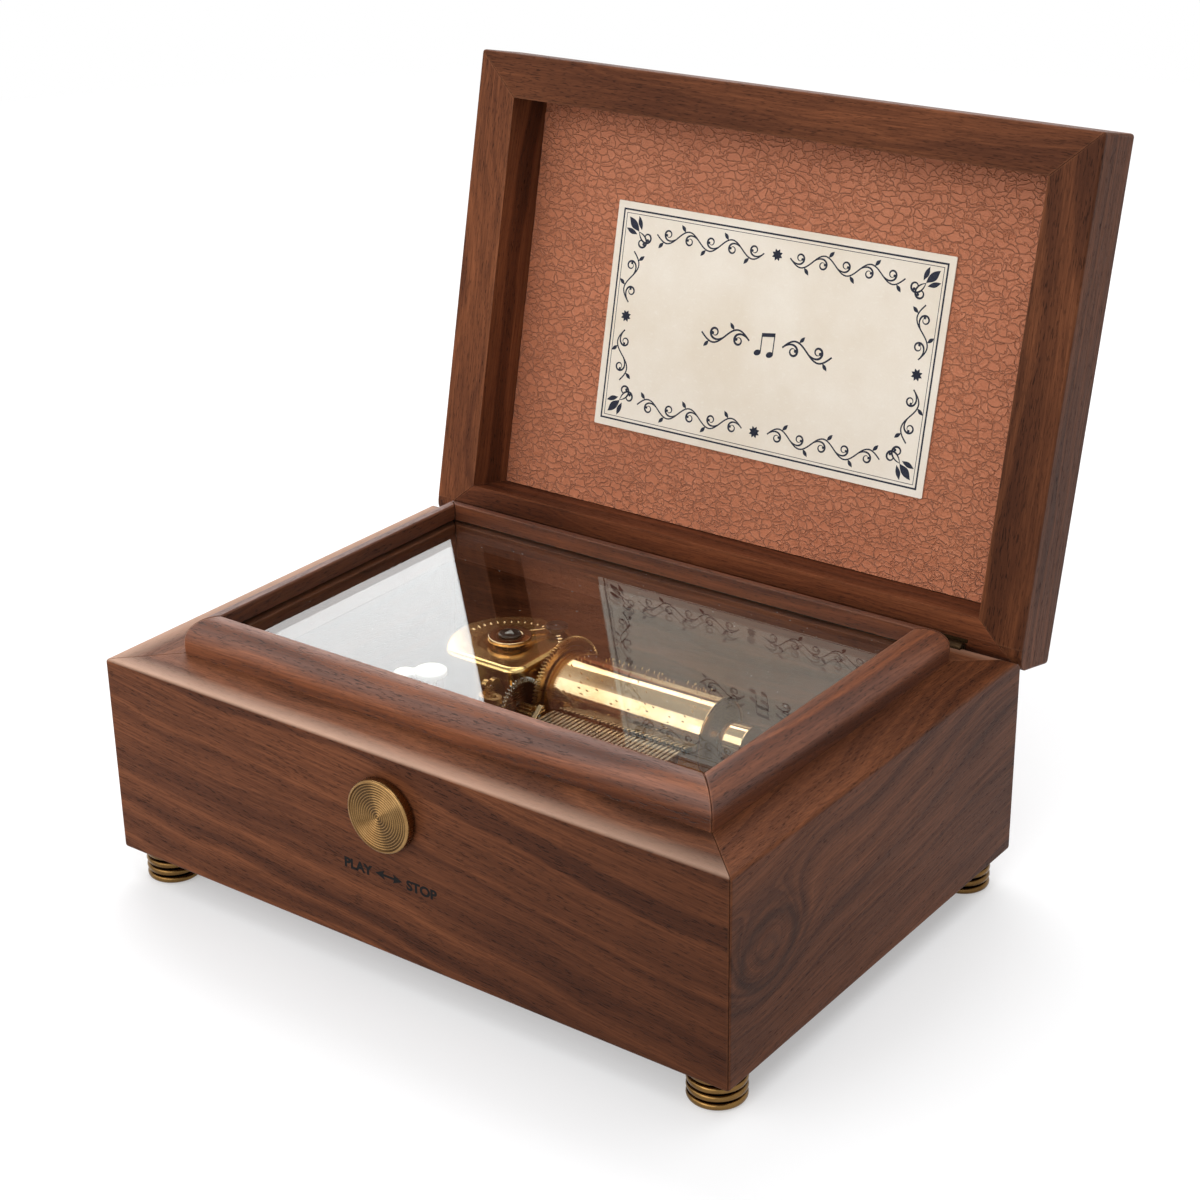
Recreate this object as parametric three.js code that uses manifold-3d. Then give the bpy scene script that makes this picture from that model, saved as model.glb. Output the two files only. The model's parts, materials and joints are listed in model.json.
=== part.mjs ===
// Wind up music box: a mitred walnut case with a glazed rim, a hinged lid and a thirty tooth movement.
// Millimetres, +Z up, X to the right, Y from the front to the back. The case is drawn with its front face at
// Y = 0 and its feet on Z = 0. At the end the whole object is centred over the origin, with its lid open.
import * as THREE from 'three';
import { RoundedBoxGeometry } from 'three/addons/geometries/RoundedBoxGeometry.js';
import { mergeVertices } from 'three/addons/utils/BufferGeometryUtils.js';
import Module from 'manifold-3d';

const wasm = await Module();
wasm.setup();

// ---------------------------------------------------------------- driving dimensions
const SEAM = 0.1; // hairline left between two glued or pressed pieces
const FIT = 0.3; // play between a moving piece and its neighbour

const CASE_W = 165;
const CASE_D = 114.5;
const CASE_H = 47.2;
const FOOT_H = 7.6;
const LEDGE = FOOT_H + CASE_H; // height of the flat ledge around the rim
const EDGE_R = 0.8; // small radius on the outer edges of case and lid
const WALL = 12.2; // front and side boards, as wide as the ledge that they carry
const WALL_BACK = 9.8;
const BACK_EDGE_R = 4; // larger radius on the back top edge, which lets the lid swing down behind it

const RIM_W = 6.1;
const RIM_W_BACK = 5.5;
const RIM_RISE = 8.3; // rim above the ledge
const RIM_DROP = 8; // rim below the ledge, glued inside the boards
const RIM_FLAT = 0.5; // flat strip beside the glass, inside the rounded outer shoulder
const GLASS_T = 3;
const GLASS_TOP = LEDGE + 4;
const GLASS_TUCK = 2.3; // how far the pane runs into the groove of the rim

const BASE_T = 5;
const BASE_RECESS = 2;
const BASE_TOP = FOOT_H + BASE_RECESS + BASE_T;
const WELL_R = 17; // round well around the winding key

const FOOT_R = 6.2;
const FOOT_IN = 7.7; // foot centre from the outer faces
const FOOT_RINGS = 3;

const LID_T = 15.4;
const LID_GAP = 0.3; // between ledge and closed lid
const LID_Y = [-1.4, CASE_D + 0.8]; // the lid stands over the case in front, for the fingers, and at the back
const LID_RAIL = 11.2; // side rails
const LID_RAIL_FRONT = 10.5;
const LID_RAIL_BACK = 10;
const LID_RECESS = 13.1; // depth of the leather below the lid's rim
const LID_NOSE_R = 4.6; // bead along the back edge of the lid
const LID_QUIRK = 0.5; // step between the lid's rim and the bead
const LID_PANEL_T = 1.5;
const LID_REBATE = 3;
const LINING_T = 0.6;
const CARD_X = 0.6; // middle of the card in the lid
const CARD_Y = 57.5;
const CARD_W = 92.4;
const CARD_D = 55;
const CARD_T = 0.3;
const LID_OPEN = THREE.MathUtils.degToRad(102.4);

const PIN_Y = CASE_D - 1.8; // hinge axis
const PIN_Z = LEDGE - 0.45;
const PIN_R = 0.6;
const KNUCKLE_R = 1.4;
const HINGE_L = 30;
const HINGE_X = 54; // hinge centre from the middle of the case
const LEAF_Y = [PIN_Y - 1.8, PIN_Y - 1]; // both leaves stand upright in saw kerfs, out of sight
const LEAF_DEPTH = 6;

const KNOB_X = -1.6;
const KNOB_Z = LEDGE - 12.9;
const KNOB_R = 8.2;
const KNOB_T = 2.4;
const KNOB_GROOVES = 4;
const KNOB_SHAFT_R = 1.9;
const KNOB_SHAFT_END = 38;
const STOP_ANGLE = THREE.MathUtils.degToRad(23.6); // the stop arm from straight down, at STOP
const STOP_ARM = 22.3;
const STOP_ARM_Y = 35.2;
const STOP_TIP_Y = 43.3;

const BED_Z = BASE_TOP;
const BED_T = 2.4;
const BED_TOP = BED_Z + BED_T;

const CYL_Y = 72; // axis of the pinned cylinder, along X
const CYL_Z = LEDGE - 18;
const CYL_LEFT = -9.2;
const CYL_RIGHT = 32.5;
const CYL_R = 9.5;
const CYL_WALL = 0.8;
const PIN_RISE = 0.45;
const CYL_ARBOR_R = 1.2;

const TEETH = 30; // of the comb
const COMB_PITCH = 1.18;
const COMB_FIRST = -5.5;
const COMB_TIP_Y = CYL_Y - CYL_R - PIN_RISE - FIT;
const COMB_T = 0.7;
const COMB_BODY_T = 2;
const COMB_FRONT = 43.7;
const COMB_BACK = 50;
const COMB_Z = CYL_Z - 0.4; // underside of the teeth

const SPRING_X = -26; // winding arbor and spring barrel, along Z
const SPRING_Y = CYL_Y;
const ARBOR_R = 2;
const HOUSING_R = 15.6; // round cover of the spring, with a flat front and a flat right side
const HOUSING_TOP = LEDGE - 10.4;
const HOUSING_T = 0.9;
const HOUSING_FRONT = 12.1; // flats from the arbor
const HOUSING_RIGHT = 11.4;
const HOUSING_SIDE_X = SPRING_X + HOUSING_RIGHT;
const HOUSING_EDGE = 1.3;
const SKIRT_R = 18.2; // wider foot of the cover, around the crown wheel
const SKIRT_TOP = 27;

const TOOTH_TIP = 0.2; // tips above and roots below the pitch line of every wheel
const TOOTH_ROOT = 0.65;
const GREAT_TEETH = 90; // great wheel, on the cylinder
const GREAT_R = 12.3;
const GREAT_X = [-10.4, CYL_LEFT - SEAM];
const CROWN_TEETH = 117; // crown wheel, on the spring barrel
const CROWN_R = (GREAT_R * CROWN_TEETH) / GREAT_TEETH;
const CROWN_W = 1.2;
const CROWN_PITCH_Z = CYL_Z - GREAT_R;
const PINION_TEETH = 15;
const PINION_R = (GREAT_R * PINION_TEETH) / GREAT_TEETH;
const PINION_DIP = THREE.MathUtils.degToRad(1.5); // second arbor below the level of the cylinder axis
const ARBOR2_Y = CYL_Y - (GREAT_R + PINION_R) * Math.cos(PINION_DIP);
const ARBOR2_Z = CYL_Z - (GREAT_R + PINION_R) * Math.sin(PINION_DIP);
const ARBOR2_R = 0.7;
const WORM_TEETH = 50; // steel wheel that drives the worm
const WORM_WHEEL_R = 7.8;
const WORM_WHEEL_X = [-12.6, -11.8];
const WORM_STARTS = 2;
const WORM_R = 1.3;
const WORM_LEAD = (WORM_STARTS * 2 * Math.PI * WORM_WHEEL_R) / WORM_TEETH;
const WORM_X = (WORM_WHEEL_X[0] + WORM_WHEEL_X[1]) / 2;
const WORM_Y = ARBOR2_Y - WORM_WHEEL_R - WORM_R;
const WORM_SHAFT_R = 0.6;
const WORM_HALF = 3; // threaded half length
const PLATE_X = [-15.9, -14.7]; // governor plate, beside the spring cover
const FLY_R = 5;
const FLY_Z = [19.6, 23.6];

// ---------------------------------------------------------------- colours
const finish = (color, roughness, metalness = 0) =>
  new THREE.MeshStandardMaterial({ color, roughness, metalness });
const walnut = () => finish(0x6e4630, 0.45);
const brass = () => finish(0xb8893f, 0.28, 1);
const polishedBrass = () => finish(0xd9b064, 0.15, 1);
const steel = () => finish(0x9c9a96, 0.3, 1);
const darkSteel = () => finish(0x35322f, 0.35, 1);
const glass = () =>
  new THREE.MeshStandardMaterial({ color: 0xe8eeee, roughness: 0.02, transparent: true, opacity: 0.25 });

// ---------------------------------------------------------------- solids
const AXIS_X = new THREE.Vector3(1, 0, 0);
const AXIS_Y = new THREE.Vector3(0, 1, 0);
const AXIS_Z = new THREE.Vector3(0, 0, 1);
// Turns a shape's x, y and depth into Y, Z and X, and into X, Z and -Y.
const TO_YZ = new THREE.Matrix4().makeBasis(AXIS_Y, AXIS_Z, AXIS_X);
const TO_XZ = new THREE.Matrix4().makeBasis(AXIS_X, AXIS_Z, AXIS_Y.clone().negate());

function toSolid(geometry) {
  const bare = geometry.clone();
  bare.deleteAttribute('normal');
  bare.deleteAttribute('uv');
  const merged = mergeVertices(bare, 1e-4);
  const index = merged.index.array;
  const kept = [];
  for (let i = 0; i < index.length; i += 3) {
    const [a, b, c] = [index[i], index[i + 1], index[i + 2]];
    if (a !== b && b !== c && c !== a) {
      kept.push(a, b, c);
    }
  }
  const vertProperties = Float32Array.from(merged.attributes.position.array);
  return new wasm.Manifold(new wasm.Mesh({ numProp: 3, vertProperties, triVerts: Uint32Array.from(kept) }));
}

function toGeometry(solid) {
  const mesh = solid.getMesh();
  const geometry = new THREE.BufferGeometry();
  geometry.setAttribute('position', new THREE.BufferAttribute(Float32Array.from(mesh.vertProperties), 3));
  geometry.setIndex(Array.from(mesh.triVerts));
  geometry.computeVertexNormals();
  return geometry;
}

function box([x0, x1], [y0, y1], [z0, z1]) {
  const geometry = new THREE.BoxGeometry(x1 - x0, y1 - y0, z1 - z0);
  geometry.translate((x0 + x1) / 2, (y0 + y1) / 2, (z0 + z1) / 2);
  return toSolid(geometry);
}

function roundedBox([x0, x1], [y0, y1], [z0, z1], radius) {
  const geometry = new RoundedBoxGeometry(x1 - x0, y1 - y0, z1 - z0, 2, radius);
  geometry.translate((x0 + x1) / 2, (y0 + y1) / 2, (z0 + z1) / 2);
  return toSolid(geometry);
}

function extrude(shape, depth, options = {}) {
  return new THREE.ExtrudeGeometry(shape, { depth, bevelEnabled: false, curveSegments: 6, ...options });
}

// An outline in X and Y, raised from z0 to z1.
function prismZ(shape, z0, z1, options) {
  return toSolid(extrude(shape, z1 - z0, options).translate(0, 0, z0));
}

// An outline in Y and Z, run from x0 to x1.
function prismX(shape, x0, x1, options) {
  return toSolid(extrude(shape, x1 - x0, options).applyMatrix4(TO_YZ).translate(x0, 0, 0));
}

// An outline in X and Z, run from y0 to y1.
function prismY(shape, y0, y1, options) {
  return toSolid(extrude(shape, y1 - y0, options).applyMatrix4(TO_XZ).translate(0, y1, 0));
}

function outline(points) {
  return new THREE.Shape(points.map(([u, v]) => new THREE.Vector2(u, v)));
}

function roundedRect([u0, u1], [v0, v1], radius) {
  const shape = new THREE.Shape();
  shape.moveTo(u0 + radius, v0);
  shape.lineTo(u1 - radius, v0);
  shape.absarc(u1 - radius, v0 + radius, radius, -Math.PI / 2, 0);
  shape.lineTo(u1, v1 - radius);
  shape.absarc(u1 - radius, v1 - radius, radius, 0, Math.PI / 2);
  shape.lineTo(u0 + radius, v1);
  shape.absarc(u0 + radius, v1 - radius, radius, Math.PI / 2, Math.PI);
  shape.lineTo(u0, v0 + radius);
  shape.absarc(u0 + radius, v0 + radius, radius, Math.PI, 1.5 * Math.PI);
  return shape;
}

// A profile of [radius, height] points, anticlockwise, turned around the vertical line through (x, y).
function turned(profile, segments, x = 0, y = 0) {
  const points = profile.map(([r, h]) => new THREE.Vector2(r, h));
  const geometry = new THREE.LatheGeometry(points, segments);
  return toSolid(geometry.rotateX(Math.PI / 2).translate(x, y, 0));
}

function disc(radius, z0, z1, segments, x = 0, y = 0) {
  return turned([[0, z0], [radius, z0], [radius, z1], [0, z1]], segments, x, y);
}

function ring(inner, outer, z0, z1, segments, x = 0, y = 0) {
  return turned([[inner, z0], [outer, z0], [outer, z1], [inner, z1], [inner, z0]], segments, x, y);
}

// The same round pieces around a line along X, or along Y, through the point given.
const alongX = (solid, y, z) => solid.rotate([0, 90, 0]).translate([0, y, z]);
const alongY = (solid, x, z) => solid.rotate([-90, 0, 0]).translate([x, 0, z]);

// ---------------------------------------------------------------- the scene graph
const musicBox = new THREE.Group();
const caseGroup = new THREE.Group();
const lidGroup = new THREE.Group();
musicBox.add(caseGroup, lidGroup);

function add(group, name, solid, material) {
  const mesh = new THREE.Mesh(toGeometry(solid), material);
  mesh.name = name;
  group.add(mesh);
  return mesh;
}

// Plan of the four mitred sides of a frame. At a corner the joint runs from the outer corner to the inner one.
function mitredSides(outerX, outerY, widths, z0, z1) {
  const [x0, x1] = outerX;
  const [y0, y1] = outerY;
  const inner = {
    x0: x0 + widths.left,
    x1: x1 - widths.right,
    y0: y0 + widths.front,
    y1: y1 - widths.back,
  };
  const s = SEAM / 2;
  const side = (points) => prismZ(outline(points), z0, z1);
  return {
    front: side([[x0 + s, y0], [x1 - s, y0], [inner.x1 - s, inner.y0], [inner.x0 + s, inner.y0]]),
    back: side([[x1 - s, y1], [x0 + s, y1], [inner.x0 + s, inner.y1], [inner.x1 - s, inner.y1]]),
    left: side([[x0, y0 + s], [inner.x0, inner.y0 + s], [inner.x0, inner.y1 - s], [x0, y1 - s]]),
    right: side([[x1, y1 - s], [inner.x1, inner.y1 - s], [inner.x1, inner.y0 + s], [x1, y0 + s]]),
  };
}

const HALF_W = CASE_W / 2;
const CASE_X = [-HALF_W, HALF_W];
const CASE_Y = [0, CASE_D];

// ---------------------------------------------------------------- case
const INNER_X = [-HALF_W + WALL, HALF_W - WALL];
const INNER_Y = [WALL, CASE_D - WALL_BACK];

// The channel that the two knuckles of a hinge turn in.
function knuckleChannel(centreX) {
  const from = centreX - HINGE_L / 2 - FIT;
  const channel = disc(KNUCKLE_R + FIT, from, from + HINGE_L + 2 * FIT, 14);
  return alongX(channel, PIN_Y, PIN_Z);
}

// The saw kerf that a leaf is let into, open on the side of the joint between case and lid.
const CASE_LEAF_Z = [PIN_Z - 1.4 - LEAF_DEPTH, PIN_Z - 1.4];
const LID_LEAF_Z = [PIN_Z + 1.5, PIN_Z + 1.5 + LEAF_DEPTH];

function leafKerf(centreX, [low, high]) {
  const span = [centreX - HINGE_L / 2 - FIT, centreX + HINGE_L / 2 + FIT];
  const joint = LEDGE + LID_GAP / 2;
  const height = [Math.min(low - SEAM, joint), Math.max(high + SEAM, joint)];
  return box(span, [LEAF_Y[0] - SEAM, LEAF_Y[1] + SEAM], height);
}

function backEdgeCut() {
  const y0 = CASE_D - BACK_EDGE_R;
  const z0 = LEDGE - BACK_EDGE_R;
  const shape = new THREE.Shape();
  shape.moveTo(y0, LEDGE);
  shape.absarc(y0, z0, BACK_EDGE_R, Math.PI / 2, 0, true);
  shape.lineTo(CASE_D + 1, z0);
  shape.lineTo(CASE_D + 1, LEDGE + 1);
  shape.lineTo(y0, LEDGE + 1);
  return prismX(shape, -HALF_W - 1, HALF_W + 1, { curveSegments: 4 });
}

function caseBoards() {
  const block = roundedBox(CASE_X, CASE_Y, [FOOT_H, LEDGE], EDGE_R).subtract(backEdgeCut());
  const widths = { left: WALL, right: WALL, front: WALL, back: WALL_BACK };
  const sides = mitredSides(CASE_X, CASE_Y, widths, FOOT_H - 1, LEDGE + 1);
  const shaftHole = alongY(disc(KNOB_SHAFT_R + FIT, -1, WALL + 1, 16), KNOB_X, KNOB_Z);
  const boards = {};
  for (const [place, side] of Object.entries(sides)) {
    boards[place] = block.intersect(side);
  }
  boards.front = boards.front.subtract(shaftHole);
  for (const x of [-HINGE_X, HINGE_X]) {
    boards.back = boards.back.subtract(knuckleChannel(x)).subtract(leafKerf(x, CASE_LEAF_Z));
  }
  for (const [place, board] of Object.entries(boards)) {
    add(caseGroup, `case_${place}_board`, board, walnut());
  }
}

// Section of the rim: u runs inwards from its outer face, v is the height over the ledge.
function rimSection(width) {
  const shape = new THREE.Shape();
  const radius = width - RIM_FLAT;
  shape.moveTo(0, -RIM_DROP);
  shape.lineTo(width, -RIM_DROP);
  shape.lineTo(width, RIM_RISE);
  shape.lineTo(radius, RIM_RISE);
  shape.absarc(radius, RIM_RISE - radius, radius, Math.PI / 2, Math.PI);
  return shape;
}

function glazedRim() {
  const outerX = [INNER_X[0] + SEAM, INNER_X[1] - SEAM];
  const outerY = [INNER_Y[0] + SEAM, INNER_Y[1] - SEAM];
  const widths = { left: RIM_W, right: RIM_W, front: RIM_W, back: RIM_W_BACK };
  const sides = mitredSides(outerX, outerY, widths, LEDGE - RIM_DROP - 1, LEDGE + RIM_RISE + 1);
  const runX = (width) => prismX(rimSection(width), outerX[0], outerX[1]).translate([0, 0, LEDGE]);
  const runY = (width) => prismY(rimSection(width), outerY[0], outerY[1]).translate([0, 0, LEDGE]);
  const moulding = {
    front: runX(RIM_W).translate([0, outerY[0], 0]),
    back: runX(RIM_W_BACK).mirror([0, 1, 0]).translate([0, outerY[1], 0]),
    left: runY(RIM_W).translate([outerX[0], 0, 0]),
    right: runY(RIM_W).mirror([1, 0, 0]).translate([outerX[1], 0, 0]),
  };
  const openX = [outerX[0] + RIM_W, outerX[1] - RIM_W];
  const openY = [outerY[0] + RIM_W, outerY[1] - RIM_W_BACK];
  const grow = ([low, high], by) => [low - by, high + by];
  const groove = box(
    grow(openX, GLASS_TUCK + FIT),
    grow(openY, GLASS_TUCK + FIT),
    [GLASS_TOP - GLASS_T - SEAM, GLASS_TOP + FIT],
  );
  for (const place of Object.keys(sides)) {
    const piece = moulding[place].intersect(sides[place]).subtract(groove);
    add(caseGroup, `rim_${place}`, piece, walnut());
  }
  const pane = box(grow(openX, GLASS_TUCK), grow(openY, GLASS_TUCK), [GLASS_TOP - GLASS_T, GLASS_TOP]);
  add(caseGroup, 'glass_pane', pane, glass());
}

function baseBoard() {
  const grow = ([low, high]) => [low + SEAM, high - SEAM];
  const board = box(grow(INNER_X), grow(INNER_Y), [BASE_TOP - BASE_T, BASE_TOP]);
  const well = disc(WELL_R, FOOT_H, BASE_TOP + 1, 32, SPRING_X, SPRING_Y);
  add(caseGroup, 'base_board', board.subtract(well), walnut());
}

// A foot is a short turned stack of rounded rings with a narrow groove between them.
function footProfile() {
  const bulge = 0.9;
  const profile = [[0, 0], [FOOT_R - bulge, 0]];
  const pitch = FOOT_H / FOOT_RINGS;
  for (let ringNo = 0; ringNo < FOOT_RINGS; ringNo += 1) {
    for (let step = 0; step <= 3; step += 1) {
      const angle = (step / 3 - 0.5) * Math.PI;
      const height = (ringNo + 0.5) * pitch + 0.46 * pitch * Math.sin(angle);
      profile.push([FOOT_R - bulge + bulge * Math.cos(angle), height]);
    }
  }
  profile.push([FOOT_R - bulge, FOOT_H - SEAM / 2], [0, FOOT_H - SEAM / 2]);
  return profile;
}

function feet() {
  for (const [row, y] of [['front', FOOT_IN], ['back', CASE_D - FOOT_IN]]) {
    for (const [hand, sign] of [['left', -1], ['right', 1]]) {
      const foot = turned(footProfile(), 12, sign * (HALF_W - FOOT_IN), y);
      add(caseGroup, `foot_${row}_${hand}`, foot, brass());
    }
  }
}

// ---------------------------------------------------------------- lid, drawn closed
const LID_Z = [LEDGE + LID_GAP, LEDGE + LID_GAP + LID_T];
const LID_INNER_X = [-HALF_W + LID_RAIL, HALF_W - LID_RAIL];
const LID_INNER_Y = [LID_Y[0] + LID_RAIL_FRONT, LID_Y[1] - LID_RAIL_BACK];

// What is cut away below the bead: a small step at the end of the rim, then a quarter round to the back.
function lidNoseCut() {
  const y0 = LID_Y[1] - LID_NOSE_R;
  const low = LID_Z[0] + LID_QUIRK;
  const shape = new THREE.Shape();
  shape.moveTo(y0 - 0.6, low);
  shape.lineTo(y0, low);
  shape.absarc(y0, low + LID_NOSE_R, LID_NOSE_R, -Math.PI / 2, 0);
  shape.lineTo(LID_Y[1] + 1, low + LID_NOSE_R);
  shape.lineTo(LID_Y[1] + 1, LID_Z[0] - 1);
  shape.lineTo(y0 - 0.6, LID_Z[0] - 1);
  return prismX(shape, -HALF_W - 1, HALF_W + 1, { curveSegments: 7 });
}

function lidShell() {
  const grow = ([low, high], by) => [low - by, high + by];
  const panelZ = LID_Z[1] - LID_PANEL_T;
  const recess = box(LID_INNER_X, LID_INNER_Y, [LID_Z[0] - 1, LID_Z[1] + 1]);
  const rebate = box(grow(LID_INNER_X, LID_REBATE), grow(LID_INNER_Y, LID_REBATE), [panelZ, LID_Z[1] + 1]);
  const block = roundedBox(CASE_X, LID_Y, LID_Z, EDGE_R).subtract(lidNoseCut());
  const frame = block.subtract(recess).subtract(rebate);
  const widths = { left: LID_RAIL, right: LID_RAIL, front: LID_RAIL_FRONT, back: LID_RAIL_BACK };
  const sides = mitredSides(CASE_X, LID_Y, widths, LID_Z[0] - 1, LID_Z[1] + 1);
  for (const [place, side] of Object.entries(sides)) {
    let rail = frame.intersect(side);
    if (place === 'back') {
      for (const x of [-HINGE_X, HINGE_X]) {
        const span = [x - HINGE_L / 2 - FIT, x + HINGE_L / 2 + FIT];
        const linkRoom = box(span, [LEAF_Y[0] - SEAM, PIN_Y], [LID_Z[0] - 1, PIN_Z + KNUCKLE_R + 0.2]);
        rail = rail.subtract(knuckleChannel(x)).subtract(leafKerf(x, LID_LEAF_Z)).subtract(linkRoom);
      }
    }
    add(lidGroup, `lid_rail_${place}`, rail, walnut());
  }
  const inset = LID_REBATE - SEAM;
  const panel = box(grow(LID_INNER_X, inset), grow(LID_INNER_Y, inset), [panelZ + SEAM, LID_Z[1]]);
  add(lidGroup, 'lid_top_panel', panel, walnut());
}

function lidLining() {
  const under = LID_Z[0] + LID_RECESS;
  const inset = ([low, high]) => [low + 2 * SEAM, high - 2 * SEAM];
  const leather = box(inset(LID_INNER_X), inset(LID_INNER_Y), [under, under + LINING_T]);
  add(lidGroup, 'lid_lining', leather, finish(0xaf694e, 0.6));
  const cardX = [CARD_X - CARD_W / 2, CARD_X + CARD_W / 2];
  const cardY = [CARD_Y - CARD_D / 2, CARD_Y + CARD_D / 2];
  const card = box(cardX, cardY, [under - SEAM - CARD_T, under - SEAM]);
  add(lidGroup, 'lid_card', card, finish(0xeee4d2, 0.7));
}

// ---------------------------------------------------------------- hinges
// Each leaf carries its own knuckles: two outer ones on the case leaf, the middle one on the lid leaf. A short
// link joins a knuckle to its leaf, across the joint between case and lid.
function hinge(place, centreX) {
  const third = HINGE_L / 3;
  const start = centreX - HINGE_L / 2;
  const knuckle = (from, to) => alongX(disc(KNUCKLE_R, from, to, 14), PIN_Y, PIN_Z);
  const bore = alongX(disc(PIN_R + SEAM, start - 1, start + HINGE_L + 1, 10), PIN_Y, PIN_Z);
  let caseLeaf = box([start, start + HINGE_L], LEAF_Y, CASE_LEAF_Z);
  for (const k of [0, 2]) {
    const from = start + k * third + (k ? SEAM : 0);
    const to = start + (k + 1) * third - (k ? 0 : SEAM);
    const riser = box([from, to], LEAF_Y, [CASE_LEAF_Z[0], LEDGE - SEAM]);
    const link = box([from, to], [LEAF_Y[0], PIN_Y], [LEDGE - 1.2, LEDGE - SEAM]);
    caseLeaf = caseLeaf.add(riser).add(link).add(knuckle(from, to));
  }
  const from = start + third + SEAM;
  const to = start + 2 * third - SEAM;
  const lidRiser = box([from, to], LEAF_Y, [LID_Z[0], LID_LEAF_Z[1]]);
  const lidLink = box([from, to], [LEAF_Y[0], PIN_Y], [LID_Z[0], PIN_Z + KNUCKLE_R]);
  const lidPlate = box([start, start + HINGE_L], LEAF_Y, LID_LEAF_Z);
  const lidLeaf = lidPlate.add(lidRiser).add(lidLink).add(knuckle(from, to)).subtract(bore);
  add(caseGroup, `hinge_${place}_case_leaf`, caseLeaf.subtract(bore), brass());
  add(lidGroup, `hinge_${place}_lid_leaf`, lidLeaf, brass());
  const pin = alongX(disc(PIN_R, start + SEAM, start + HINGE_L - SEAM, 10), PIN_Y, PIN_Z);
  add(caseGroup, `hinge_${place}_pin`, pin, steel());
}

// ---------------------------------------------------------------- PLAY and STOP knob
function stopKnob() {
  const lip = 0.5;
  const profile = [[0, 0], [KNOB_R, 0], [KNOB_R, KNOB_T - lip], [KNOB_R - lip, KNOB_T]];
  const pitch = (KNOB_R - 2 * lip) / KNOB_GROOVES;
  for (let groove = 1; groove <= KNOB_GROOVES; groove += 1) {
    const inner = KNOB_R - lip - groove * pitch;
    profile.push([inner + 0.5 * pitch, KNOB_T - 0.25], [inner, KNOB_T]);
  }
  profile.push([0, KNOB_T]);
  const face = turned(profile, 28).rotate([90, 0, 0]).translate([KNOB_X, -FIT, KNOB_Z]);
  add(caseGroup, 'stop_knob', face, brass());
  const shaft = alongY(disc(KNOB_SHAFT_R, SEAM - FIT, KNOB_SHAFT_END, 16), KNOB_X, KNOB_Z);
  add(caseGroup, 'stop_knob_shaft', shaft, steel());
}

// A collar on the shaft's inner end carries an arm, whose tip reaches the path of the air brake.
function stopFinger() {
  const armY = [STOP_ARM_Y, STOP_ARM_Y + 1.2];
  const collar = ring(KNOB_SHAFT_R + SEAM, 3.2, armY[0], armY[0] + 2.4, 16);
  const arm = box([-1.1, 1.1], armY, [-STOP_ARM, -2.6]);
  const tip = disc(0.4, armY[0], STOP_TIP_Y, 10).rotate([-90, 0, 0]).translate([0, 0, -STOP_ARM + 0.6]);
  const finger = collar.rotate([-90, 0, 0]).add(arm).add(tip);
  const degrees = THREE.MathUtils.radToDeg(STOP_ANGLE);
  add(caseGroup, 'stop_finger', finger.rotate([0, degrees, 0]).translate([KNOB_X, 0, KNOB_Z]), steel());
}

// ---------------------------------------------------------------- gears
// Outline of a fine toothed wheel around the origin. A tip stands at the angle called turn, and the roots lie
// halfway between the tips.
function gearOutline(teeth, pitchR, turn) {
  const pitch = (2 * Math.PI) / teeth;
  const points = [];
  for (let tooth = 0; tooth < teeth; tooth += 1) {
    for (const [radius, share] of [[pitchR + TOOTH_TIP, 0], [pitchR - TOOTH_ROOT, 0.5]]) {
      const angle = turn + (tooth + share) * pitch;
      points.push([radius * Math.cos(angle), radius * Math.sin(angle)]);
    }
  }
  return outline(points);
}

function withBore(shape, radius) {
  const hole = new THREE.Path();
  hole.absarc(0, 0, radius, 0, 2 * Math.PI, true);
  shape.holes.push(hole);
  return shape;
}

// Where a wheel's tooth has to stand to fall into a gap of the wheel that drives it from the given direction.
function meshedTurn(driverTurn, driverTeeth, direction, teeth) {
  const driverPitch = (2 * Math.PI) / driverTeeth;
  const pitch = (2 * Math.PI) / teeth;
  const phase = ((direction - driverTurn) / driverPitch) % 1;
  return direction + Math.PI + (phase + 0.5) * pitch;
}

const GREAT_PITCH = (2 * Math.PI) / GREAT_TEETH;
const GREAT_TURN = -Math.PI / 2 + GREAT_PITCH / 2; // a gap at the bottom, over a tooth of the crown wheel

function greatWheel() {
  const shape = withBore(gearOutline(GREAT_TEETH, GREAT_R, GREAT_TURN), CYL_ARBOR_R + SEAM);
  const wheel = prismX(shape, GREAT_X[0], GREAT_X[1]).translate([0, CYL_Y, CYL_Z]);
  add(caseGroup, 'great_wheel', wheel, brass());
}

// Crown wheel: a ring around the barrel's flange, sloping up to an outer edge that is cut into teeth.
function crownWheel() {
  const low = CROWN_PITCH_Z - TOOTH_ROOT;
  const high = CROWN_PITCH_Z + TOOTH_TIP;
  const bottom = BED_TOP + 1;
  const inner = CROWN_R - CROWN_W;
  const outer = CROWN_R;
  const profile = [[inner, bottom], [outer, bottom], [outer, high], [inner, bottom]];
  const points = profile.map(([r, h]) => new THREE.Vector2(r, h));
  const geometry = new THREE.LatheGeometry(points, 2 * CROWN_TEETH).rotateX(Math.PI / 2).rotateZ(Math.PI / 2);
  const position = geometry.attributes.position;
  const halfPitch = Math.PI / CROWN_TEETH;
  for (let i = 0; i < position.count; i += 1) {
    const angle = Math.atan2(position.getY(i), position.getX(i));
    const step = Math.round(angle / halfPitch);
    if (position.getZ(i) > low && step % 2 !== 0) {
      position.setZ(i, low);
    }
  }
  add(caseGroup, 'crown_wheel', toSolid(geometry.translate(SPRING_X, SPRING_Y, 0)), brass());
}

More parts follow.
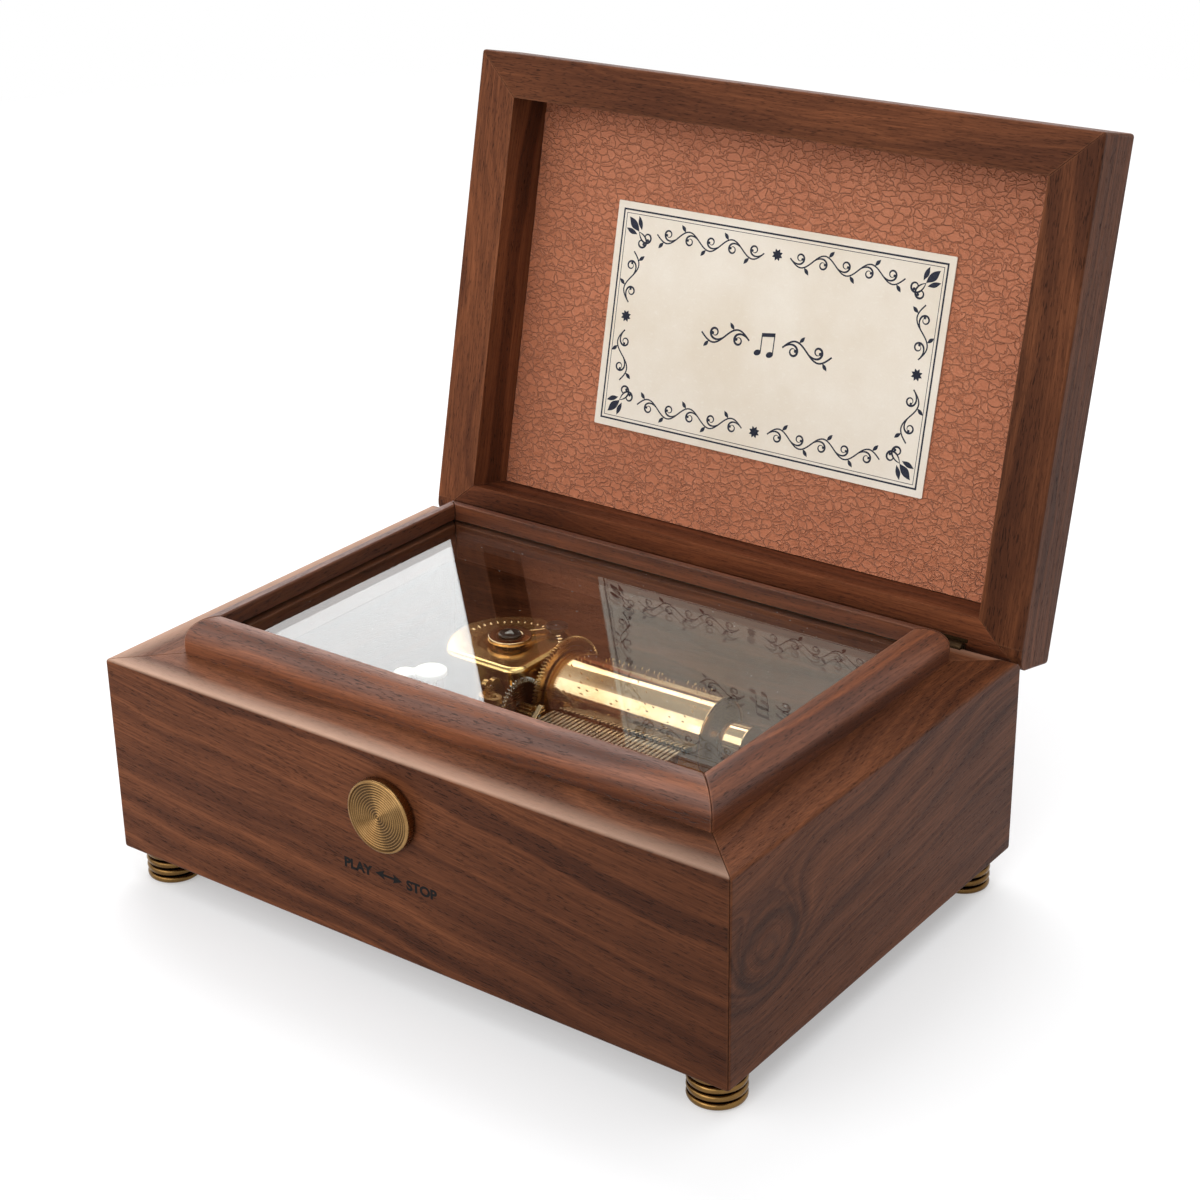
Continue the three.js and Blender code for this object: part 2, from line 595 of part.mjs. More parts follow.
function secondArbor() {
  const direction = Math.PI + PINION_DIP;
  const pinionTurn = meshedTurn(GREAT_TURN, GREAT_TEETH, direction, PINION_TEETH);
  const shape = gearOutline(PINION_TEETH, PINION_R, pinionTurn);
  const place = [0, ARBOR2_Y, ARBOR2_Z];
  const pinion = prismX(withBore(shape, ARBOR2_R + SEAM), WORM_WHEEL_X[1] + 0.2, -8.3).translate(place);
  add(caseGroup, 'second_pinion', pinion, brass());
  const arbor = alongX(disc(ARBOR2_R, PLATE_X[0] + FIT, -6.4, 12), ARBOR2_Y, ARBOR2_Z);
  add(caseGroup, 'second_arbor', arbor, steel());
  // The teeth lean to lie along the worm's thread, and a gap faces the worm.
  const toothTurn = Math.PI + Math.PI / WORM_TEETH;
  const wheelShape = gearOutline(WORM_TEETH, WORM_WHEEL_R, toothTurn);
  const width = WORM_WHEEL_X[1] - WORM_WHEEL_X[0];
  const geometry = extrude(withBore(wheelShape, ARBOR2_R + SEAM), width).translate(0, 0, -width / 2);
  const lean = WORM_LEAD / (2 * Math.PI * WORM_R) / WORM_WHEEL_R;
  twist(geometry, lean);
  geometry.applyMatrix4(TO_YZ).translate(WORM_X, ARBOR2_Y, ARBOR2_Z);
  add(caseGroup, 'worm_wheel', toSolid(geometry), steel());
}

// Turns each point of a geometry around its Z axis, in proportion to its height.
function twist(geometry, radiansPerMm) {
  const position = geometry.attributes.position;
  for (let i = 0; i < position.count; i += 1) {
    const [x, y, z] = [position.getX(i), position.getY(i), position.getZ(i)];
    const angle = z * radiansPerMm;
    const turnedX = x * Math.cos(angle) - y * Math.sin(angle);
    const turnedY = x * Math.sin(angle) + y * Math.cos(angle);
    position.setXYZ(i, turnedX, turnedY, z);
  }
}

// The worm is a two lobed section twisted once in each lead, with a thread facing the steel wheel.
function worm() {
  const points = [];
  const period = (2 * Math.PI) / WORM_STARTS;
  const root = WORM_R - 0.45;
  const crest = WORM_R + 0.25;
  const corners = [[root, -0.36], [crest, -0.13], [crest, 0.13], [root, 0.36]];
  for (let start = 0; start < WORM_STARTS; start += 1) {
    for (const [radius, share] of corners) {
      const angle = Math.PI / 2 + (start + share) * period;
      points.push([radius * Math.cos(angle), radius * Math.sin(angle)]);
    }
  }
  const steps = Math.round((2 * WORM_HALF * 10) / WORM_LEAD);
  const geometry = extrude(outline(points), 2 * WORM_HALF, { steps }).translate(0, 0, -WORM_HALF);
  twist(geometry, (2 * Math.PI) / WORM_LEAD);
  const thread = toSolid(geometry).translate([WORM_X, WORM_Y, ARBOR2_Z]);
  const shaft = disc(WORM_SHAFT_R, FLY_Z[0] - 0.6, 43.4, 12, WORM_X, WORM_Y);
  add(caseGroup, 'worm_shaft', thread.add(shaft), steel());
  const hub = ring(WORM_SHAFT_R + SEAM, 1.3, FLY_Z[0], FLY_Z[1], 12);
  const blade = box([-FLY_R, FLY_R], [-0.2, 0.2], FLY_Z).add(hub);
  const fly = blade.subtract(disc(WORM_SHAFT_R + SEAM, FLY_Z[0] - 1, FLY_Z[1] + 1, 12));
  add(caseGroup, 'fly', fly.translate([WORM_X, WORM_Y, 0]), finish(0xd8d8d4, 0.4));
}

// ---------------------------------------------------------------- pinned cylinder
const toothX = (tooth) => COMB_FIRST + tooth * COMB_PITCH;

// Each tooth of the comb has its own ring of pins, spread around the cylinder in uneven steps like a tune.
function tunePins() {
  const pins = [];
  const golden = Math.PI * (3 - Math.sqrt(5));
  for (let tooth = 0; tooth < TEETH; tooth += 1) {
    const count = 2 + ((tooth * 5) % 3 === 0 ? 1 : 0);
    for (let pin = 0; pin < count; pin += 1) {
      const angle = tooth * golden + ((pin + 0.35 * Math.sin(3 * tooth + 2 * pin)) * 2 * Math.PI) / count;
      const peg = disc(0.22, CYL_R - 0.2, CYL_R + PIN_RISE, 3);
      const degrees = THREE.MathUtils.radToDeg(angle);
      pins.push(peg.translate([toothX(tooth), 0, 0]).rotate([degrees, 0, 0]));
    }
  }
  return wasm.Manifold.union(pins);
}

function cylinder() {
  const tube = ring(CYL_R - CYL_WALL, CYL_R, CYL_LEFT, CYL_RIGHT, 40);
  const drum = tube.rotate([0, 90, 0]).add(tunePins());
  add(caseGroup, 'cylinder_tube', drum.translate([0, CYL_Y, CYL_Z]), polishedBrass());
  const capR = CYL_R - CYL_WALL - SEAM;
  for (const [hand, from] of [['left', CYL_LEFT + 0.6], ['right', CYL_RIGHT - 1.8]]) {
    const cap = ring(CYL_ARBOR_R + SEAM, capR, from, from + 1.2, 24);
    add(caseGroup, `cylinder_cap_${hand}`, alongX(cap, CYL_Y, CYL_Z), brass());
  }
  const arbor = alongX(disc(CYL_ARBOR_R, HOUSING_SIDE_X - HOUSING_T + SEAM, 39.8, 12), CYL_Y, CYL_Z);
  add(caseGroup, 'cylinder_arbor', arbor, steel());
}

// ---------------------------------------------------------------- comb
function comb() {
  const toothHalf = 0.39;
  const left = toothX(0) - 3;
  const right = toothX(TEETH - 1) + 3;
  const points = [[left, COMB_FRONT], [right, COMB_FRONT], [right, COMB_BACK]];
  for (let tooth = TEETH - 1; tooth >= 0; tooth -= 1) {
    const root = COMB_BACK + 1.5 - (3 * tooth) / TEETH; // the bass teeth, on the right, are the longer ones
    const x = toothX(tooth);
    points.push([x + toothHalf, root], [x + toothHalf - 0.08, COMB_TIP_Y]);
    points.push([x - toothHalf + 0.08, COMB_TIP_Y], [x - toothHalf, root]);
  }
  points.push([left, COMB_BACK]);
  const teeth = prismZ(outline(points), COMB_Z, COMB_Z + COMB_T);
  const body = box([left, right], [COMB_FRONT, COMB_BACK - 2], [COMB_Z, COMB_Z + COMB_BODY_T]);
  add(caseGroup, 'comb', teeth.add(body), steel());
  const base = box([toothX(0) - 0.5, right], [COMB_FRONT, COMB_BACK - 2], [BED_TOP + SEAM, COMB_Z - SEAM]);
  add(caseGroup, 'comb_base', base, brass());
}

// ---------------------------------------------------------------- plates and bearings
function bedplate() {
  const plan = roundedRect([-46, 41], [41, 92.5], 4);
  const hole = disc(ARBOR_R + FIT, BED_Z - 1, BED_TOP + 1, 16, SPRING_X, SPRING_Y);
  const plate = prismZ(plan, BED_Z + SEAM, BED_TOP, { curveSegments: 4 }).subtract(hole);
  add(caseGroup, 'bedplate', plate, brass());
}

function rightBearing() {
  const shape = new THREE.Shape();
  shape.moveTo(CYL_Y - 6, BED_TOP + SEAM);
  shape.lineTo(CYL_Y + 6, BED_TOP + SEAM);
  shape.lineTo(CYL_Y + 4.6, CYL_Z);
  shape.absarc(CYL_Y, CYL_Z, 4.6, 0, Math.PI);
  const boss = alongX(disc(3.2, 33.6, 40.4, 20), CYL_Y, CYL_Z);
  const bore = alongX(disc(CYL_ARBOR_R + SEAM, 30, 45, 12), CYL_Y, CYL_Z);
  const bracket = prismX(shape, 36, 38.2).add(boss).subtract(bore);
  add(caseGroup, 'right_bearing', bracket, polishedBrass());
}

// A brass post beside the cylinder, with a slanting top, carries the right pivot of the second arbor.
function arborCock() {
  const [y, z] = [ARBOR2_Y, ARBOR2_Z];
  const shape = outline([
    [y - 3.6, BED_TOP + SEAM], [y + 0.8, BED_TOP + SEAM], [y + 1.8, z - 1], [y + 1.8, z + 2.4],
    [y + 1, z + 2.6], [y - 2.7, z - 0.3], [y - 2.4, z - 2],
  ]);
  const bore = alongX(disc(ARBOR2_R + SEAM, -9, -5, 12), y, z);
  add(caseGroup, 'arbor_cock', prismX(shape, -7.6, -6.4).subtract(bore), polishedBrass());
}

// The governor plate carries the second arbor's left pivot, and two arms that the worm shaft turns between. It
// stands on one leg, clear of the air brake and the crown wheel. The lug at its top takes the setting screw.
function governorPlate() {
  const [y, z] = [ARBOR2_Y, ARBOR2_Z];
  const armZ = [24.6, 42.4];
  const shape = new THREE.Shape();
  shape.moveTo(y - 4.2, BED_TOP + SEAM);
  shape.lineTo(y + 0.7, BED_TOP + SEAM);
  shape.lineTo(y + 0.7, armZ[0] + 2);
  shape.lineTo(y + 1.7, z - 5);
  shape.lineTo(y + 1.7, z + 2.2);
  shape.lineTo(y - 1, z + 3.6);
  shape.quadraticCurveTo(y - 1.2, z + 6, y - 2.6, z + 6.4);
  shape.quadraticCurveTo(y - 3.4, z + 9.6, y - 5.2, z + 9.4);
  shape.quadraticCurveTo(y - 6.3, z + 9.2, y - 6.4, z + 8.6);
  shape.absarc(y - 7.5, z + 8.7, 1.3, 0, Math.PI);
  shape.lineTo(y - 9, z + 2);
  shape.lineTo(y - 9, armZ[0]);
  shape.lineTo(y - 4.2, armZ[0]);
  const lug = new THREE.Path();
  lug.absarc(y - 7.5, z + 8.7, 0.6, 0, 2 * Math.PI, true);
  shape.holes.push(lug);
  const arm = (z0) => {
    const plan = roundedRect([PLATE_X[0], WORM_X + 1.9], [WORM_Y - 1.8, WORM_Y + 1.8], 1.7);
    return prismZ(plan, z0, z0 + 1.4, { curveSegments: 3 });
  };
  const wormBore = disc(WORM_SHAFT_R + SEAM, armZ[0] - 1, armZ[1] + 2, 12, WORM_X, WORM_Y);
  const arborBore = alongX(disc(ARBOR2_R + SEAM, -20, -10, 12), y, z);
  const plate = prismX(shape, PLATE_X[0], PLATE_X[1], { curveSegments: 4 });
  const frame = plate.add(arm(armZ[0])).add(arm(armZ[1])).subtract(wormBore).subtract(arborBore);
  add(caseGroup, 'governor_plate', frame, brass());
}

// A white two lobed cap on its own post, in front of the spring cover.
function regulatorCap() {
  const [x, y] = [-32.3, 50.9];
  const top = LEDGE - 10.8;
  const lobe = disc(3.8, top - 1.2, top, 24, x, y);
  const small = disc(2.4, top - 1.2, top - 0.2, 16, x - 4.6, y - 3.6);
  const bridge = disc(2, top - 1.2, top - 0.2, 12, x - 2.6, y - 2);
  const post = disc(1.1, BED_TOP + SEAM, top - 0.6, 12, x, y);
  add(caseGroup, 'regulator_cap', lobe.add(small).add(bridge).add(post), finish(0xe9e6de, 0.45));
}

// ---------------------------------------------------------------- spring and winding
// Plan of the spring cover, drawn smaller by the inset.
function coverPlan(inset) {
  const [x, y] = [SPRING_X, SPRING_Y];
  const radius = HOUSING_R - inset;
  const front = HOUSING_FRONT - inset;
  const right = HOUSING_RIGHT - inset;
  const corner = 4.6 - inset;
  const backAngle = Math.acos(right / radius);
  const leftAngle = 1.24 * Math.PI;
  const shape = new THREE.Shape();
  shape.moveTo(x - 0.48 * radius, y - front);
  shape.lineTo(x + right - corner, y - front);
  shape.absarc(x + right - corner, y - front + corner, corner, -Math.PI / 2, 0);
  shape.lineTo(x + right, y + radius * Math.sin(backAngle));
  shape.absarc(x, y, radius, backAngle, leftAngle);
  shape.quadraticCurveTo(x - Math.sqrt(radius ** 2 - front ** 2), y - front, x - 0.48 * radius, y - front);
  return shape;
}

function springCover() {
  const room = HOUSING_TOP - HOUSING_T;
  const soft = {
    bevelEnabled: true, bevelThickness: HOUSING_EDGE, bevelSize: HOUSING_EDGE, bevelOffset: -HOUSING_EDGE,
    bevelSegments: 2, curveSegments: 7,
  };
  const cup = prismZ(coverPlan(0), SKIRT_TOP - 3, HOUSING_TOP - HOUSING_EDGE, soft);
  const cavity = prismZ(coverPlan(HOUSING_T), BED_TOP, room, { curveSegments: 7 });
  const skirt = disc(SKIRT_R, BED_TOP + SEAM, SKIRT_TOP, 28, SPRING_X, SPRING_Y);
  const skirtRoom = disc(SKIRT_R - HOUSING_T, BED_TOP - 1, SKIRT_TOP - HOUSING_T, 28, SPRING_X, SPRING_Y);
  const window = box([HOUSING_SIDE_X - 1.7, 0], [50, 95], [10, SKIRT_TOP + 0.01]);
  const base = skirt.subtract(skirtRoom).subtract(window);
  const upper = cup.intersect(box([-60, 0], [50, 100], [SKIRT_TOP - HOUSING_T, 60]));
  const arborHole = disc(ARBOR_R + FIT, 40, 60, 16, SPRING_X, SPRING_Y);
  const pivotHole = alongX(disc(CYL_ARBOR_R + SEAM, -20, -10, 12), CYL_Y, CYL_Z);
  const cover = upper.add(base).subtract(cavity).subtract(arborHole).subtract(pivotHole);
  add(caseGroup, 'spring_cover', cover, polishedBrass());
}

function springBarrel() {
  const floor = [BED_TOP + 1, BED_TOP + 2.4];
  const flangeR = CROWN_R - CROWN_W - SEAM;
  const bore = ARBOR_R + FIT;
  const drum = [8.8, 9.6];
  const profile = [
    [bore, floor[0]], [flangeR, floor[0]], [flangeR, floor[1]], [drum[1], floor[1]], [drum[1], 41],
    [drum[0], 41], [drum[0], floor[1]], [bore, floor[1]], [bore, floor[0]],
  ];
  add(caseGroup, 'spring_barrel', turned(profile, 24, SPRING_X, SPRING_Y), brass());
  mainspring(floor[1] + FIT, 40, drum[0] - FIT);
}

// The mainspring is a flat strip, drawn as an even spiral from the arbor out to the drum.
function mainspring(z0, z1, outerR) {
  const turns = 4;
  const steps = turns * 12;
  const innerR = ARBOR_R + FIT + 0.5;
  const half = 0.15;
  const edge = (offset, order) =>
    order.map((step) => {
      const radius = innerR + ((outerR - innerR - half) * step) / steps + offset;
      const angle = (2 * Math.PI * turns * step) / steps;
      return [SPRING_X + radius * Math.cos(angle), SPRING_Y + radius * Math.sin(angle)];
    });
  const outward = Array.from({ length: steps + 1 }, (_, step) => step);
  const points = [...edge(half, outward), ...edge(-half, outward.toReversed())];
  add(caseGroup, 'mainspring', prismZ(outline(points), z0, z1), darkSteel());
}

function windingArbor() {
  const [bottom, neckTop, collarTop] = [HOUSING_TOP + 0.2, HOUSING_TOP + 0.95, HOUSING_TOP + 1.9];
  add(caseGroup, 'winding_arbor', disc(ARBOR_R, 8.5, collarTop, 16, SPRING_X, SPRING_Y), steel());
  const bore = ARBOR_R + SEAM;
  const profile = [
    [bore, bottom], [3.2, bottom], [3.2, neckTop], [5.1, neckTop], [5.1, collarTop - 0.2], [4.9, collarTop],
    [bore, collarTop], [bore, bottom],
  ];
  add(caseGroup, 'winding_collar', turned(profile, 24, SPRING_X, SPRING_Y), polishedBrass());
  const low = collarTop + SEAM;
  const cap = [[0, low], [2.65, low], [2.65, low + 0.2], [2.4, low + 0.4], [0, low + 0.4]];
  add(caseGroup, 'arbor_cap', turned(cap, 20, SPRING_X, SPRING_Y), darkSteel());
}

// Wrap spring around the collar's neck, which lets the arbor be wound one way. Both tails leave the neck along
// a tangent and reach to the post.
function clutchSpring(postX, postY) {
  const wire = 0.12;
  const neckR = 3.2 + wire + FIT;
  const z0 = HOUSING_TOP + wire + 0.14;
  const away = Math.atan2(postY - SPRING_Y, postX - SPRING_X);
  const reach = Math.hypot(postX - SPRING_X, postY - SPRING_Y) - 2.1;
  const touch = Math.acos(neckR / reach);
  const wound = 4 * Math.PI - 2 * touch;
  const rise = ((2 * wire + 0.04) * wound) / (2 * Math.PI);
  const at = (radius, angle, z) =>
    new THREE.Vector3(SPRING_X + radius * Math.cos(angle), SPRING_Y + radius * Math.sin(angle), z);
  const points = [at(reach, away - 0.14, z0)];
  const steps = 26;
  for (let step = 0; step <= steps; step += 1) {
    const share = step / steps;
    points.push(at(neckR, away - touch - share * wound, z0 + rise * share));
  }
  points.push(at(reach, away + 0.14, z0 + rise));
  const path = new THREE.CatmullRomCurve3(points, false, 'centripetal');
  const section = outline([[wire, 0], [0, wire], [-wire, 0], [0, -wire]]);
  const geometry = new THREE.ExtrudeGeometry(section, { steps: 42, bevelEnabled: false, extrudePath: path });
  add(caseGroup, 'clutch_spring', toSolid(geometry), polishedBrass());
}

function springPost() {
  const [x, y] = [SPRING_X + 5.4, SPRING_Y + 10.7];
  const foot = HOUSING_TOP + SEAM;
  const [neck, top] = [foot + 1, foot + 1.7];
  const profile = [[0, foot], [1.8, foot], [1.8, neck], [2.55, neck], [2.55, top], [0, top]];
  add(caseGroup, 'spring_post', turned(profile, 16, x, y), darkSteel());
  clutchSpring(x, y);
}

// A butterfly key: a hub with two pierced wings, low enough to turn inside the well.
function windingKey() {
  const [low, high] = [2, 12.8];
  const wing = new THREE.Shape();
  wing.moveTo(0, low + 2);
  wing.lineTo(6, low);
  wing.absarc(8.6, low + 4.2, 4.2, -Math.PI / 2, Math.PI / 2);
  wing.lineTo(0, low + 6.8);
  wing.lineTo(-8.6, low + 8.4);
  wing.absarc(-8.6, low + 4.2, 4.2, Math.PI / 2, 1.5 * Math.PI);
  wing.lineTo(-6, low);
  for (const side of [-1, 1]) {
    const eye = new THREE.Path();
    eye.absarc(side * 8.4, low + 4.2, 2.1, 0, 2 * Math.PI, true);
    wing.holes.push(eye);
  }
  const wings = prismY(wing, -0.9, 0.9, { curveSegments: 4 });
  const hub = disc(3.4, low + 1.5, high, 18);
  const socket = disc(ARBOR_R + SEAM, 8.2, high + 1, 16);
  const key = wings.add(hub).subtract(socket).translate([SPRING_X, SPRING_Y, 0]);
  add(caseGroup, 'winding_key', key, brass());
}

// ---------------------------------------------------------------- assembly
caseBoards();
glazedRim();
baseBoard();
feet();
lidShell();
lidLining();
hinge('left', -HINGE_X);
hinge('right', HINGE_X);
stopKnob();
stopFinger();
bedplate();
springCover();
springBarrel();
crownWheel();
windingArbor();
springPost();
windingKey();
greatWheel();
cylinder();
secondArbor();
worm();
rightBearing();
arborCock();
governorPlate();
regulatorCap();
comb();

// The lid turns about the hinge pins, up and back, to its open stop.
const hingeLine = new THREE.Vector3(0, PIN_Y, PIN_Z);
lidGroup.children.forEach((mesh) => mesh.position.copy(hingeLine).negate());
lidGroup.position.copy(hingeLine);
lidGroup.rotation.x = -LID_OPEN;

// The origin lies on the table, under the middle of the object as it stands open.
musicBox.updateMatrixWorld(true);
const extent = new THREE.Box3().setFromObject(musicBox);
musicBox.position.y = -(extent.min.y + extent.max.y) / 2;
musicBox.updateMatrixWorld(true);

export default musicBox;
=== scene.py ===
"""Looks of the wind up music box: finer pieces, materials, floor, light and camera around the CAD frame."""

import json
import random
from math import acos, atan2, cos, hypot, pi, radians, sin, sqrt, tau

import bmesh
import bpy
from mathutils import Matrix, Vector, noise


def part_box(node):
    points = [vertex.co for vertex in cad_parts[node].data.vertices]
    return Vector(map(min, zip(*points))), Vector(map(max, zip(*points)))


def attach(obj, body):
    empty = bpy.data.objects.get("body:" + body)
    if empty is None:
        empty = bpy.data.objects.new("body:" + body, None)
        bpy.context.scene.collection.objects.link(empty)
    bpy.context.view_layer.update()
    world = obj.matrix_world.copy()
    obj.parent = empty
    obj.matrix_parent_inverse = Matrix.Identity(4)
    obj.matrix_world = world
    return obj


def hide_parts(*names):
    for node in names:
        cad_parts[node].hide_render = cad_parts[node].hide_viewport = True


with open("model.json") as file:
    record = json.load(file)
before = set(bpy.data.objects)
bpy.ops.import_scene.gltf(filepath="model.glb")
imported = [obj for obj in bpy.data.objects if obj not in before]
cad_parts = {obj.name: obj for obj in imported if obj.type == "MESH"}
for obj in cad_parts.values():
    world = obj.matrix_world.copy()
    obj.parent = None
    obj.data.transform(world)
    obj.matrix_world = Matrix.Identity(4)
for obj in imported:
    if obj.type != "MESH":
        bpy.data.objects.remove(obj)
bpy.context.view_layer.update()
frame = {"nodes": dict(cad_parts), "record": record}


def to(x, y, z):
    return Matrix.Translation((x, y, z))


def turned(angle, axis="Z"):
    return Matrix.Rotation(angle, 4, axis)


# Lengths are millimetres in case coordinates: X from the middle to the right, Y from the front face to the
# back, Z up from the table. The lid is drawn closed and then swung open about its hinge line.
MM = 0.001
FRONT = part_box("case_front_board")[0].y
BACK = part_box("case_back_board")[1].y
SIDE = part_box("case_right_board")[1].x
TO_ROW = to(0, FRONT, 0) @ Matrix.Scale(MM, 4)
HINGE_LINE = to(0, 112.7, 54.35)
LID_ANGLE = radians(102.4)
LID_OPEN = HINGE_LINE @ turned(-LID_ANGLE, "X") @ HINGE_LINE.inverted()
LEDGE = 54.8
LINING_FACE = 68.2
CARD_FACE = 67.8

NODES = frame["nodes"]
BODY = {node: body for body, nodes in frame["record"]["behaviour"]["bodies"].items() for node in nodes}


def at(x, y, z):
    """A point in case millimetres, in the row frame."""
    return TO_ROW @ Vector((x, y, z))


def adjusted(thing, **settings):
    """The thing, with its settings made."""
    for key, value in settings.items():
        setattr(thing, key, value)
    return thing


def linked(name, data):
    """A new object in the scene."""
    thing = bpy.data.objects.new(name, data)
    bpy.context.scene.collection.objects.link(thing)
    return thing


# ---------------- node helpers
def rgb(*colour):
    """A colour given as sRGB bytes, in linear light."""

    def one(value):
        share = value / 255
        return share / 12.92 if share <= 0.04045 else ((share + 0.055) / 1.055) ** 2.4

    return (*(one(value) for value in colour), 1)


class Nodes:
    """A small builder for a node tree."""

    def __init__(self, tree):
        self.tree = tree

    def feed(self, node, key, value):
        socket = node.inputs[key]
        if isinstance(value, bpy.types.NodeSocket):
            self.tree.links.new(value, socket)
        else:
            socket.default_value = value

    def node(self, kind, inputs=None, **settings):
        made = adjusted(self.tree.nodes.new("ShaderNode" + kind), **settings)
        for key, value in (inputs or {}).items():
            self.feed(made, key, value)
        return made

    def math(self, operation, a, b=0.0):
        return self.node("Math", {0: a, 1: b}, operation=operation).outputs[0]

    def plus(self, a, b):
        return self.math("ADD", a, b)

    def minus(self, a, b):
        return self.math("SUBTRACT", a, b)

    def times(self, a, b):
        return self.math("MULTIPLY", a, b)

    def span(self, value, from_low, from_high, low=0.0, high=1.0):
        inputs = {"Value": value, "From Min": from_low, "From Max": from_high, "To Min": low, "To Max": high}
        return self.node("MapRange", inputs, clamp=True).outputs[0]

    def coordinates(self, kind):
        return self.node("TexCoord").outputs[kind]

    def blended(self, factor, a, b):
        return self.node("MixShader", {0: factor, 1: a, 2: b}).outputs[0]

    def seen(self):
        """One for rays from the camera, and for those that metal and glass send on."""
        path = self.node("LightPath").outputs
        sent_on = self.math("MAXIMUM", path["Is Glossy Ray"], path["Is Transmission Ray"])
        return self.math("MAXIMUM", path["Is Camera Ray"], sent_on)


class Shader(Nodes):
    """The builder for one material, whose coordinates are the row frame in millimetres."""

    def __init__(self, name, turn=(0, 0, 0), shift=(0, 0, 0)):
        self.material = bpy.data.materials.new(name)
        self.material.use_nodes = True
        super().__init__(self.material.node_tree)
        self.surface = self.tree.nodes["Principled BSDF"]
        inputs = {"Vector": self.coordinates("Object"), "Rotation": turn, "Location": shift}
        mapping = self.node("Mapping", {**inputs, "Scale": (1 / MM, 1 / MM, 1 / MM)})
        self.place = mapping.outputs[0]

    def looks(self, **values):
        """Sets or links sockets of the surface, with spaces in their names written as underlines."""
        for key, value in values.items():
            self.feed(self.surface, key.replace("_", " "), value)

    def stretched(self, scale):
        """The coordinates, scaled by one number or by one for each axis."""
        scale = scale if isinstance(scale, tuple) else (scale, scale, scale)
        return self.node("VectorMath", {0: self.place, 1: scale}, operation="MULTIPLY").outputs[0]

    def noise(self, scale, detail=2.0, roughness=0.5):
        inputs = {"Vector": self.stretched(scale), "Scale": 1.0, "Detail": detail, "Roughness": roughness}
        return self.node("TexNoise", inputs).outputs[0]

    def ramp(self, factor, stops):
        node = self.node("ValToRGB", {"Fac": factor})
        elements = node.color_ramp.elements
        while len(elements) < len(stops):
            elements.new(0.5)
        for element, (place, colour) in zip(elements, stops):
            element.position = place
            element.color = rgb(*colour)
        return node.outputs["Color"]

    def mix(self, factor, a, b, blend="MIX"):
        node = self.node("Mix", data_type="RGBA", blend_type=blend, clamp_factor=True)
        for key, value in ((0, factor), (6, a), (7, b)):
            self.feed(node, key, value)
        return node.outputs[2]

    def layered(self, colour, *layers):
        """The colour with sRGB colours laid over it in turn, each with its share."""
        for share, over in layers:
            colour = self.mix(share, colour, rgb(*over))
        return colour

    def bump(self, height, distance_mm):
        inputs = {"Height": height, "Distance": distance_mm * MM, "Strength": 1.0}
        return self.node("Bump", inputs).outputs[0]


# ---------------- camera, lamps, floor
def add_camera():
    """The photograph's view, from above the front right corner."""
    image_width, focal_length = 1200, 2393
    yaw, pitch, roll = radians(36.72), radians(23.84), -0.0147
    camera = linked("camera", bpy.data.cameras.new("camera"))
    sensor = 36
    adjusted(camera.data, sensor_width=sensor, lens=sensor * focal_length / image_width, clip_start=0.01)
    turn = turned(yaw) @ turned(pi / 2 - pitch, "X") @ turned(roll)
    camera.matrix_world = to(*at(290.25, -317.1, 278.0)) @ turn
    bpy.context.scene.camera = camera


def add_softbox(name, place, size, radiance):
    """A softbox that is level along X and faces the line along X through the box, so that its edges show
    straight along the cylinder. The radiance is what a mirror shows of it, where 1 is white."""
    (wide, high), (x, y, z), target_z = size, place, 0.06
    lamp = linked(name, bpy.data.lights.new(name, "AREA"))
    adjusted(lamp.data, shape="RECTANGLE", size=wide, size_y=high, energy=radiance * pi * wide * high)
    facing = Vector((0, -y, target_z - z)).to_track_quat("-Z", "Y")
    adjusted(lamp, location=(x, y, z), rotation_euler=facing.to_euler())


def add_lamps():
    add_softbox("softbox_back_left", (-1.20, 1.16, 1.06), (2.3, 1.2), 2.35)
    add_softbox("softbox_high", (-1.10, 0.57, 1.50), (1.8, 0.32), 3.6)
    add_softbox("softbox_key", (-1.15, -1.26, 1.12), (2.1, 1.15), 1.55)
    add_softbox("softbox_top", (0.42, 0.02, 1.55), (0.9, 1.5), 2.4)
    add_softbox("softbox_front", (0.1, -1.6, 0.85), (1.5, 1.0), 2.0)


def set_world():
    """Soft light, and white walls with a darker ceiling for the rays that show them."""
    world = bpy.data.worlds.new("studio")
    bpy.context.scene.world = world
    world.use_nodes = True
    world.node_tree.nodes.clear()
    n = Nodes(world.node_tree)
    rise = n.node("SeparateXYZ", {0: n.coordinates("Generated")}).outputs[2]
    walls = n.span(rise, 0.70, 0.79, 1.0, 0.38)
    white = (1, 1, 1, 1)
    soft = n.node("Background", {"Color": white, "Strength": 0.46}).outputs[0]
    shown = n.node("Background", {"Color": white, "Strength": walls}).outputs[0]
    n.node("OutputWorld", {"Surface": n.blended(n.seen(), soft, shown)})


